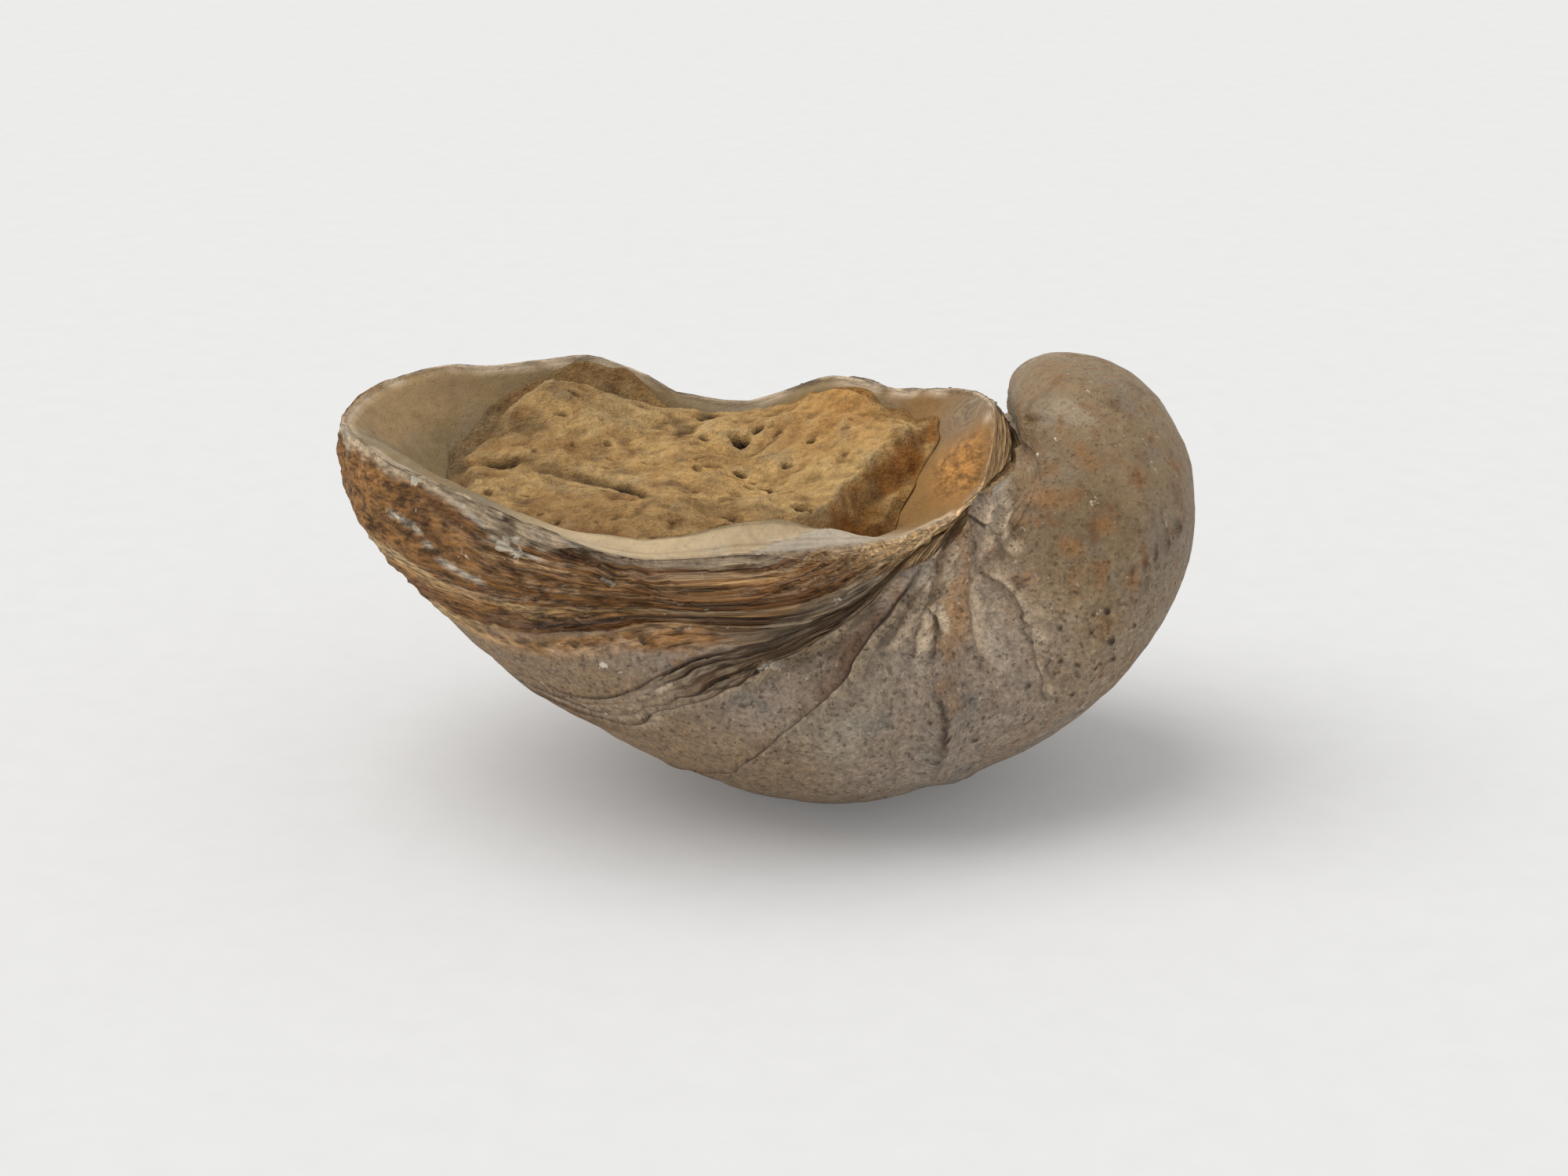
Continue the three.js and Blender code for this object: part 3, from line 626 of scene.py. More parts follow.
class Valve:
    """Grid of the valve from the tip of the beak over the outside, margin and crest to the hollow."""

    def __init__(self):
        self.lay_grid()
        self.lay_strata()
        self.measure_outside()
        self.normal = grid_normals(self.plain)
        self.tip = place(BEAK_STAGE + BEAK_CAP, 0.5, 0.0)
        self.floor = np.array([BOWL_X, 0, BOWL_FLOOR_Z])
        self.height, self.crevice, self.rim, self.rust, self.lip_line = self.blank_grids(5)
        self.fold, self.worn, self.wedge, self.chalk, self.pit = self.blank_grids(5)

    def lay_grid(self):
        """Plain form of the valve, and the theta, row, stage, rise and reach of its points."""
        theta = np.radians(np.concatenate([np.linspace(a, b, n, endpoint=False) for a, b, n in COLUMNS]))
        levels = np.radians(CAP_ANGLES), outer_rows(), np.linspace(0, 1, MARGIN_ROWS + 1)[1:], HOLLOW_REACH
        shrink, row, rise, reach = [level[:, None] + 0 * theta for level in levels]
        stage = row_stage(row, theta + 0 * row)
        self.theta = np.concatenate([theta + 0 * part for part in (shrink, row, rise, reach)])
        self.degrees = np.degrees(self.theta)
        self.row = np.concatenate([BEAK_STAGE + 0 * shrink, row, LAMINA_STAGE + 0 * rise, 0 * reach])
        self.stage = np.concatenate([BEAK_STAGE + 0 * shrink, stage, LAMINA_STAGE + 0 * rise, 0 * reach])
        self.rise = np.concatenate([0 * shrink, 0 * row, rise, 1 + 0 * reach])
        self.reach = np.concatenate([1 + 0 * shrink, 1 + 0 * row, 1 + 0 * rise, reach])
        self.outside = self.reach >= 1
        self.outer = slice(len(shrink), len(shrink) + len(row))
        self.inner = slice(len(self.theta) - len(reach), len(self.theta))
        self.plain = np.concatenate([
            beak_cap(shrink, theta), wall(stage, theta), margin(rise, theta), hollow(reach, theta),
        ])

    def lay_strata(self):
        """Places of the points in a round frame in which the layers lie flat."""
        under_margin = -(self.row - LAMINA_STAGE) * STRATA_PER_ROW
        up = np.where(self.row > LAMINA_STAGE, under_margin, STRATA_MARGIN * self.rise)
        up = up + STRATA_HOLLOW * (1 - self.reach)
        around = STRATA_RADIUS * np.cos(self.theta), STRATA_RADIUS * np.sin(self.theta)
        self.strata = np.stack([*around, up], -1)

    def blank_grids(self, count):
        return [np.zeros(self.theta.shape) for _ in range(count)]

    def measure_outside(self):
        """Length in mm down each column of the outside, and where the rows aren't bunched."""
        row_step = np.linalg.norm(np.gradient(self.plain[self.outer], axis=0), axis=-1)
        self.down_wall = np.cumsum(row_step, axis=0)
        number_step = -np.gradient(self.row[self.outer], axis=0)
        self.roomy = smooth(0.12, 0.42, row_step / np.maximum(number_step, 1e-3))

    def jagged(self, seed, size):
        """Wavering of an edge on the outside, in mm."""
        along = self.strata[self.outer]
        return size * (noise(along, (1.7, 1.7, 60), seed) + 0.5 * noise(along, (0.6, 0.6, 60), seed + 1))

    def beyond_row(self, number, seed, jag):
        """Distance in mm from a row towards the beak."""
        rows = self.row[self.outer][:, 0]
        k = int(np.argmin(np.abs(rows - number)))
        return self.down_wall[k] - self.down_wall + self.jagged(seed, jag)

    def beyond_line(self, line, seed, jag):
        """Distance in mm from a line of (theta, stage) points towards the beak."""
        degrees = np.linspace(line[0][0], line[-1][0], 200)
        marks = wall(curve(line)(degrees), np.radians(degrees)).astype(np.float32)
        points = self.plain[self.outer].astype(np.float32)
        nearest = np.full(points.shape[:2], 1e6, np.float32)
        for mark in marks:
            nearest = np.minimum(nearest, np.square(points - mark).sum(-1))
        over = self.stage[self.outer] - curve(line)(self.degrees[self.outer])
        return np.sign(over) * np.sqrt(nearest) + self.jagged(seed, jag)

    def beyond_spot(self, surface, level, degrees):
        """Distance in mm from a point of the wall or the margin, in all directions."""
        return spot_distance(self.plain, surface(np.array(level), np.radians(degrees)))

    def uneven(self, size, seed, middle, depth, low, high):
        """Strength that varies along the outside between two limits."""
        return np.clip(middle + depth * noise(self.strata[self.outer], size, seed), low, high)

    def step_up(self, distance, strength, height, fade, groove=0.2, rust=0.0, dark=1.0):
        """Edge of a plate beyond distance 0: groove at its foot in painted shade, pale rim worn and a
        painted highlight.
        """
        outer = self.outer
        raised = smooth(-0.16, 0.16, distance) * np.exp(-np.maximum(distance, 0) / fade)
        foot = bell(distance, -0.3, 0.34)
        self.height[outer] += (height * raised - groove * foot) * strength
        self.height[outer] += 0.15 * height * bell(distance, 0.5, 0.5) * strength
        # Painted shade in the groove, a pale rim that is worn and partly a painted highlight, and rust
        # beside it.
        self.crevice[outer] += dark * bell(distance, -0.2, 0.24) * strength
        self.rim[outer] += bell(distance, 0.45, 0.5) * strength
        self.rust[outer] += rust * bell(distance, -0.7, 0.9) * strength

    def add_ledges(self):
        degrees = self.degrees[self.outer]
        for k, (number, height, fade, middle, half) in enumerate(LEDGES):
            room = np.where(number > FIRST_WIDE_ROW, smooth(-120, -104, degrees), self.roomy)
            strength = bell(degrees, middle, half) ** 0.7 * smooth(-4, -16, degrees) * room
            strength = strength * self.uneven((6, 6, 40), 40 + k, 0.8, 0.5, 0.3, 1.2)
            distance = self.beyond_row(number, 200 + 2 * k, 0.16)
            self.step_up(distance, strength, height, fade, 0.5 * height, 0.5, 1.5)
        for number, height, fade in FAR_LEDGES:
            strength = smooth(4, 16, degrees) * between(degrees, -172, -140, 140, 172)
            strength = strength * self.uneven((7, 7, 40), int(number), 0.7, 0.6, 0, 1.1)
            self.step_up(self.beyond_row(number, 240, 0.3), strength, height, fade)

    def add_edges(self):
        """Broken edges, the tan fold between two of them and the worn strip along the outer plate."""
        degrees = self.degrees[self.outer]
        distances = [self.beyond_line(edge[0], 60 + 2 * k, 0.3) for k, edge in enumerate(EDGES)]
        for k, (line, height, fade, groove, rust, dark) in enumerate(EDGES):
            first, last = line[0][0], line[-1][0]
            soft = 0.12 * (last - first)
            strength = between(degrees, first, first + soft, last - soft, last)
            strength = strength * self.uneven((4, 4, 30), 90 + k, 0.9, 0.2 if k < PLATES else 0.5, 0.3, 1.1)
            self.step_up(distances[k], strength, height, fade, groove, rust, dark)
        plate, _, foot, crease = distances[:4]
        beside = np.maximum(foot, plate)
        fold = smooth(-0.1, 0.3, crease) * smooth(0.3, -0.1, beside)
        self.fold[self.outer] = fold * between(degrees, -136, -128, -96, -89)
        across = np.clip(crease / np.maximum(crease - beside, 0.1), 0, 1)
        swell = np.sin(np.pi * across) * between(degrees, -136, -126, -106, -96)
        self.height[self.outer] += FOLD_HEIGHT * swell
        worn = smooth(-0.1, 0.4, plate) * np.exp(-np.maximum(plate, 0) / 2.2)
        self.worn[self.outer] = worn * bell(degrees, -112, 26)

    def add_furrow(self):
        """The furrow across the flank, and the dark wedge beside the wide ledge."""
        outer, degrees = self.outer, self.degrees[self.outer]
        fade_hinge = between(degrees, -168, -140, 140, 168)
        middle = self.beyond_line(FURROW, 81, 0.35)
        deeper = 1 + smooth(-62, -76, degrees) + bell(degrees, -90, 20)
        near = bell(degrees, -88, 26)
        self.height[outer] -= FURROW_DEPTH * deeper * bell(middle, 0.5, 1.7) * fade_hinge
        self.height[outer] -= FURROW_CORE_DEPTH * bell(middle, 0, 0.45) * fade_hinge * near
        # Painted shade along the bottom of the furrow.
        self.crevice[outer] += bell(middle, 0, 0.3) * near
        self.rust[outer] += bell(middle, 0.8, 1.2) * bell(degrees, -94, 14)
        distance = self.beyond_row(WEDGE_ROW, 83, 0.2)
        strength = bell(degrees, -96, 11)
        self.height[outer] -= WEDGE_DEPTH * bell(distance, -0.7, 0.8) * strength
        # The wedge: brown stain and the painted shadow of the raised plate beside it.
        self.wedge[outer] = between(distance, -2.4, -0.4, -0.3, 0.1) * strength

    def mark_band(self):
        """Where the brown layered band is, the strands below it and the slab of layers beside the hinge."""
        row, rise, along = self.row, self.rise, self.strata
        away = np.abs(self.degrees)
        foot = curve(BAND_FOOT_STAGE)(away)
        on_wall = smooth(foot + 1.2, foot - 1.2, self.stage + 1.2 * noise(along, (3, 3, 8), 21))
        on_wall = on_wall * (row >= LAMINA_STAGE) * (foot > LAMINA_STAGE + 0.2)
        foot = curve(BAND_FOOT_SHARE)(away)
        on_margin = smooth(foot - 0.02, foot + 0.04, rise + 0.03 * noise(along, (4, 4, 9), 22))
        on_margin = on_margin * (rise > 0) * self.outside
        self.band = np.clip(np.where(rise > 0, on_margin, on_wall), 0, 1)
        self.band[self.inner] = smooth(0.975, 1.0, self.reach[self.inner])
        by_hinge = smooth(-78, -88, self.degrees) * self.outside
        self.slab = (1 - self.band) * by_hinge * smooth(19, 17.5, row)
        sides = between(self.degrees, -124, -116, -78, -66)
        self.bundle = (1 - self.band) * between(row, 17.5, 18.2, 29.4, 30.4) * sides

    def add_layers(self):
        """Thin stacked layers of the margin, which give way to fibres at the lip."""
        row, rise, along, degrees = self.row, self.rise, self.strata, self.degrees
        away = np.abs(degrees)
        count = np.where(rise > 0, rise * curve(LAMINAE)(away), -(row - LAMINA_STAGE) * STRATA_PER_ROW)
        fine = Layers(count, along, 31)
        coarse = Layers(count / COARSE_LAYER + 0.37, along, 51)
        lip = smooth(62, 38, away) * smooth(0.34, 0.5, rise)
        self.fibrous = lip * self.band
        layered = np.maximum(self.band, np.maximum(0.8 * self.slab, 1.1 * self.bundle)) * (1 - 0.85 * lip)
        layered = layered * (0.5 + 0.5 * smooth(176, 120, away)) * (0.4 + 0.6 * smooth(46, 64, away))
        neck = smooth(*NECK, degrees)
        by_crest = smooth(0.92, 1.0, rise)
        relief = 0.45 * fine.stand - 0.36 * fine.gap + 0.7 * coarse.stand - 0.6 * coarse.gap - 0.3
        self.height += layered * relief * (1 - 0.45 * neck) * (1 - 0.8 * by_crest)
        # Painted shade in the gaps between the layers, and a painted highlight on their edges.
        self.crevice += layered * (0.8 * fine.gap + coarse.gap) * (1 - 0.85 * neck)
        self.rim += 0.35 * layered * (fine.tip * fine.tone + coarse.tip * coarse.tone)
        self.layer_tone = 0.62 * fine.tone + 0.38 * coarse.tone

    def add_neck_and_fibres(self):
        """Swelling of the neck, and threads over the fibrous part."""
        swell = smooth(*NECK, self.degrees) * bell(self.row, 26, 14) * (self.row >= LAMINA_STAGE)
        self.height += NECK_SWELL * swell * smooth(-160, -140, self.degrees)
        threads = 0.30 * fractal(self.plain, 2.2, 23) + 0.16 * fractal(self.plain, (0.7, 0.7, 0.5), 27)
        self.height += self.fibrous * threads * (1 - 0.6 * smooth(0.92, 1.0, self.rise))

    def add_low_crevice(self):
        """Deeper crevice low in the band, with painted shade in it."""
        low = smooth(0.42, 0.1, self.rise) * between(self.degrees, -110, -92, -66, -48) * (self.rise > 0)
        crevice = bell(self.rise - 0.03 * noise(self.strata, (6, 6, 4), 29), 0.13, 0.03) * low
        self.height -= LOW_CREVICE_DEPTH * crevice
        self.crevice += crevice

    def add_lip_lines(self):
        """Ragged pale lines across the lip, the worn strip along the crest and the dark part between."""
        away, along = np.abs(self.degrees), self.strata
        near = smooth(0, -8, self.degrees) * (self.rise > 0.02) * self.outside
        for k, (line, first, last) in enumerate(LIP_LINES):
            below = curve(line)(away) - self.rise + 0.035 * fractal(along, (2.0, 2.0, 1.4), 33 + k, 3)
            here = between(away, first - 3, first + 1, last - 1, last + 3) * near
            broken = smooth(-0.5, 0.1, noise(along, (1.6, 1.6, 1.2), 37 + k))
            self.lip_line += bell(below, -0.02, 0.02) * here * broken
            self.height += LIP_LINE_STEP * smooth(0.02, -0.02, below) * here
        over = self.rise - curve(WORN_EDGE)(away) + 0.05 * fractal(along, (2, 2, 1), 155, 3)
        self.worn_top = smooth(-0.03, 0.04, over) * near * smooth(-112, -98, self.degrees)
        self.dark_core = bell(self.rise - curve(DARK_CORE)(away), 0, 0.09) * bell(away, 52, 13) * near

    def add_inner_ledge(self):
        inner = self.inner
        near = between(self.degrees[inner], -150, -135, -60, -20)
        self.height[inner] += (0.16 - 0.12 * near) * fractal(self.plain[inner], 1.6, 83)
        self.layer_line = self.degrees + 93 + 186 * (1 - self.reach) + 2.2 * fractal(self.plain, 1.4, 157, 4)
        self.height[inner] += LEDGE_LAYER_STEP * near * smooth(-0.5, 0.5, self.layer_line[inner])

    def add_recess(self):
        """A stained hollow below the band near the lip, where the outer layer is lost, and its two edges."""
        here = bell(self.degrees, -34, 15) * self.outside
        edge = self.row - RECESS_ROW + 0.25 * fractal(self.strata, (3, 3, 30), 181, 3)
        self.height -= RECESS_DEPTH * between(edge, -0.2, 0.5, 3.5, 8.0) * here
        # Painted shade along its two edges, and a painted highlight just outside it.
        self.crevice += here * (0.9 * bell(edge, 0.4, 0.45) + 0.7 * bell(edge, 2.0, 0.35))
        self.rim += 0.6 * here * bell(edge, -0.5, 0.5)
        self.recess = here * between(edge, 0.0, 0.6, 5.0, 8.0)

    def add_grain(self):
        broad = fractal(self.plain, 9, 91, 3)
        small = fractal(self.plain, 1.6, 95, 3)
        body = (1 - self.band) * self.outside
        self.height += (BROAD_GRAIN * broad + SMALL_GRAIN * small) * body + BAND_GRAIN * broad * self.band

    def add_crumbs_and_pits(self):
        rough = 0.35 * fractal(self.plain, 0.8, 101, 2)
        for rise, degrees, size, height in CRUMBS:
            distance = self.beyond_spot(margin, rise, degrees) + rough
            self.height += height * smooth(size, 0.25 * size, distance)
            self.chalk += 0.5 * smooth(size, 0.4 * size, distance)
        for stage, degrees, size in PITS:
            depth = smooth(1.1 * size, 0.4 * size, self.beyond_spot(wall, stage, degrees))
            self.height -= 0.6 * size * depth
            self.pit += depth
        for surface, spots in ((wall, CHALK_ON_WALL), (margin, CHALK_ON_MARGIN)):
            for level, degrees, size in spots:
                self.chalk += smooth(1.5 * size, 0.2 * size, self.beyond_spot(surface, level, degrees))

    def points(self):
        p = self.plain + self.normal * self.height[..., None]
        p[..., 2] = np.maximum(p[..., 2], 0)
        return within_cad_box(p)

    def body_tone(self):
        p, row, stage, degrees = self.plain, self.row, self.stage, self.degrees
        umbo = smooth(*UMBO_COLOUR, stage)
        body = painted(GREY_TAN, p, [
            (WARM_TAN, 0.5 + 0.7 * fractal(p, 7, 111, 4)),
            (UMBO_TAN * 1.14, 0.9 * umbo),
            (COOL_GREY, 0.8 - 0.48 * umbo, 3.2, 117, 4, 0.1, 0.8),
            (BLUE_GREY, 0.6 * smooth(36, 24, row) * smooth(-44, -62, degrees), 2.4, 121, 3, 0.1, 0.7),
            (PALE, 0.35 - 0.175 * umbo, 1.1, 119, 3, 0.35, 1.0),
            (BROWN, 0.7 * umbo, 2.2, 123, 4, 0.2, 1.1),
            (STAIN, 0.6 * smooth(90, 170, stage), 2.0, 127, 4, 0.35, 0.9),
            (PALE, 0.35 * smooth(165, 215, stage), 4.5, 163, 3, 0.0, 0.8),
            (PALE, 0.4 * bell(row, 54, 8) * bell(degrees, -78, 14)),
        ])
        body = body * (1 + 0.2 * bell(stage, 118, 24) - 0.3 * umbo * bell(degrees, -108, 24))[..., None]
        ragged = 0.9 * fractal(p, 1.6, 177, 3)
        stains = [
            (STAIN * 0.95, 0.8 * smooth(size, 0.1 * size, self.beyond_spot(wall, level, theta) + ragged))
            for level, theta, size in STAINS
        ]
        return painted(body, p, [
            (COOL_GREY * 1.15, 0.45 * umbo * smooth(-78, -58, degrees) * smooth(185, 150, stage)),
            (LIP_TAN, 0.7 * smooth(-80, -58, degrees) * smooth(70, 40, row)),
            *stains,
            (BROWN * 1.15, 0.8 * self.recess, 2.5, 171, 3, -1.0, 0.2),
        ])

    def band_tone(self):
        p, along, degrees = self.plain, self.strata, self.degrees
        layers = painted(LAYER_DARK, along, [
            (LAYER_TAN, 1.5 * self.layer_tone - 0.2),
            (LAYER_PALE, 0.8 * smooth(0.55, 0.9, self.layer_tone)),
            # The neck's strands painted lighter than they are: painted light that lifts the shade under the
            # umbo.
            (NECK_TAN * 1.1, 0.7 * smooth(-104, -122, degrees)),
            (STAIN * 0.85, 0.6, (8, 8, 1.2), 131, 3, 0.1, 0.8),
        ])
        layers = layers * (1 + BAND_WARMTH * between(degrees, -112, -98, -84, -58)[..., None])
        fibres = painted(LAYER_DARK * 0.9, p, [
            (FIBRE_TAN, 0.5 + 0.5 * fractal(p, 1.6, 133, 4)),
            (FIBRE_TAN * 1.15, 0.55 * smooth(-42, -28, degrees)),
        ])
        layers = painted(layers, p, [
            (fibres, self.fibrous),
            (PALE_RIM, 0.9 * smooth(0.82, 0.95, self.rise) * smooth(10, 40, degrees)),
            (LAYER_DARK * 0.9, 0.75 * self.dark_core, 1.2, 173, 3, -0.8, 0.6),
            (WORN_PALE, 0.85 * self.worn_top),
        ])
        return painted(layers, along, [
            (BLUE_GREY * 1.1, 0.5 * self.worn_top, (3, 3, 0.5), 169, 3, 0.1, 0.7),
        ])

    def inside_tone(self):
        p, reach, line = self.plain, self.reach, self.layer_line
        near = between(self.degrees, *CREAM_LEDGE)
        thin = reach + 0.006 * fractal(self.strata, 5, 165, 3)
        far_lip = smooth(0.80, 0.92, reach + 0.03 * fractal(p, 3, 175, 3)) * bell(self.degrees, 18, 30)
        return painted(INNER_GREY, p, [
            (COOL_GREY, 0.5, 4, 143, 3, -0.2, 0.8),
            (LEDGE_CREAM, near),
            (LEDGE_SHADE, 0.5 * near * bell(reach, 0.955, 0.03), 1.5, 159, 3, -0.8, 0.6),
            (LEDGE_SHADE, near * smooth(0.3, -0.3, line)),
            (BROWN, 0.6 * near * bell(line, -0.4, 0.7)),
            (PALE_RIM, 0.6 * near * bell(line, 1.0, 0.8)),
            (BROWN, 0.55 * near * (bell(thin, 0.972, 0.005) + 0.7 * bell(thin, 0.945, 0.004))),
            (HINGE_BEIGE, smooth(120, 145, np.abs(self.degrees))),
            (BROWN, 0.30 * (1 - near), 2.5, 141, 4, 0.1, 1.0),
            (COOL_GREY, 0.55 * bell(spot_distance(p, SWIRL_CENTRE), 0, 4.0)),
            (RUST, bell(spot_distance(p, RUST_PATCH) + 0.6 * fractal(p, 1.2, 145, 3), 0, 3.2)),
            (FAR_LIP, 0.8 * far_lip * (1 - near)),
            (PALE_RIM, 0.85 * smooth(0.955, 0.985, reach) * (1 - near), 2, 147, 3, -0.6, 0.4),
        ])

    def tone(self):
        groove = np.clip(self.crevice, 0, 1)
        strands = painted(BROWN * 1.3, self.strata, [
            (STRAND_TAN, 1.8 * self.layer_tone),
            (STRAND_GREY, 0.8, (6, 6, 1), 161, 3, -0.5, 0.4),
        ])
        return painted(self.body_tone(), self.plain, [
            (strands, 0.9 * self.bundle),
            ((strands + STRAND_GREY) / 2, 0.9 * self.slab),
            (self.band_tone(), self.band),
            (FOLD_BROWN, 0.8 * self.fold, 2.2, 139, 3, -1.2, 0.2),
            (PINKISH, 0.8 * self.worn, 1.8, 149, 3, -0.9, 0.4),
            (STAIN, 0.65 * self.rust, 1.0, 137, 3, -0.5, 0.5),
            # Wedge below the wide ledge: brown stain and painted shadow.
            (WEDGE_BROWN, 0.9 * self.wedge),
            # Pale rims of plates and layers: worn, and partly a painted highlight.
            (PALE_RIM, 1.3 * self.rim, 1.1, 153, 3, -1.4, -0.1),
            (self.inside_tone(), (self.reach < 1) * smooth(1.0, 0.985, self.reach)),
            (CHALK, self.lip_line),
            # Crevices in painted shade: rust and shade in the bundle's gaps, dark brown elsewhere.
            (GROOVE_RUST_AND_SHADE, 0.7 * self.bundle * smooth(0.0, 0.5, groove)),
            (DARK_BROWN, 0.9 * groove * (1 - self.bundle * smooth(0.9, 0.3, groove))),
            # Painted shade in the pits.
            (DARK_BROWN, 0.9 * self.pit),
        ])


def make_valve():
    valve = Valve()
    valve.add_ledges()
    valve.add_edges()
    valve.add_furrow()
    valve.mark_band()
    valve.add_layers()
    valve.add_neck_and_fibres()
    valve.add_low_crevice()
    valve.add_lip_lines()
    valve.add_inner_ledge()
    valve.add_recess()
    valve.add_grain()
    valve.add_crumbs_and_pits()
    piece = closed_mesh("fossil_valve", valve.tip, valve.points(), valve.floor)
    inside = (valve.reach < 1) * smooth(1.0, 0.97, valve.reach)
    below = 0.75 * np.maximum(valve.slab, valve.bundle)
    streaked = np.maximum(valve.band * (1 - 0.5 * valve.worn_top), below)
    masks = np.stack([streaked, valve.fibrous, smooth(*UMBO_SPOTS, valve.stage)], -1)
    spots = np.stack([valve.chalk, inside, smooth(*UMBO_GLOSS, valve.stage)], -1)
    give_attribute(piece, "tone", "FLOAT_COLOR", valve.tone())
    give_attribute(piece, "masks", "FLOAT_COLOR", masks)
    give_attribute(piece, "spots", "FLOAT_COLOR", spots)
    give_attribute(piece, "strata", "FLOAT_VECTOR", valve.strata)
    return piece


# ---------------------------------------------------------------- sediment

# Holes of the sediment: x, y, radius, depth. Distances along x count for less in them.
HOLE_SQUEEZE = 0.8
HOLES = [
    (-9.2, 10.7, 0.95, 1.6), (-7.6, 11.3, 0.5, 0.6), (-8.9, 2.4, 0.6, 0.9), (-7.9, 1.2, 0.45, 0.7),
    (-9.8, 1.2, 0.4, 0.6), (-6.9, 0.2, 0.5, 0.7), (-8.3, -0.4, 0.4, 0.6), (-6.2, -0.6, 0.35, 0.5),
    (-5.9, 9.2, 0.5, 0.5), (-3.0, 6.9, 0.45, 0.5), (0.7, 7.6, 0.4, 0.4), (-3.6, -7.4, 1.0, 0.9),
    (-20.5, -4, 0.45, 0.4), (-12.5, 10.5, 0.35, 0.4), (-5.2, 3.6, 0.4, 0.4),
]
CREVICE = [(-33, 6.0), (-31.2, 5.2), (-26.7, 3.4), (-23.4, 2.4), (-20.1, 0.2), (-17.6, -3.5), (-15.5, -7.5)]
# Wavering of the step, and the place where it runs further out: x, y, how far, radius.
FILL_STEP_WANDER, FILL_STEP_BAY = 1.1, (1.4, -2.4, 2.3, 3.8)
# Radius of the ring on which the raggedness of the outline is read.
FILL_RING = 16
FILL_COLUMNS, FILL_TOP_ROWS = 560, 150
FILL_UNDER_ROWS = [0.2, 0.45, 0.7, 0.88, 0.97, 1.0]
PORE_DEPTH, CREVICE_DEPTH, CREVICE_SHELF = 0.28, 0.3, 0.6
# Size in steps of the grid over which a point counts as sunk or raised, for painted shade and highlight.
CAVITY_REACH = 7


def beyond_step(x, y):
    """Distance in mm from the line of the step; it is positive on the lower side."""
    (x0, y0), (x1, y1) = FILL_STEP_FROM, FILL_STEP_TO
    return ((x - x0) * (y1 - y0) - (y - y0) * (x1 - x0)) / math.hypot(x1 - x0, y1 - y0)


def fill_gap(away):
    """Clearance under the sediment; it closes up on the hinge side, where its foot is seen."""
    return FILL_GAP * (1 - 0.75 * smooth(96, 120, away))


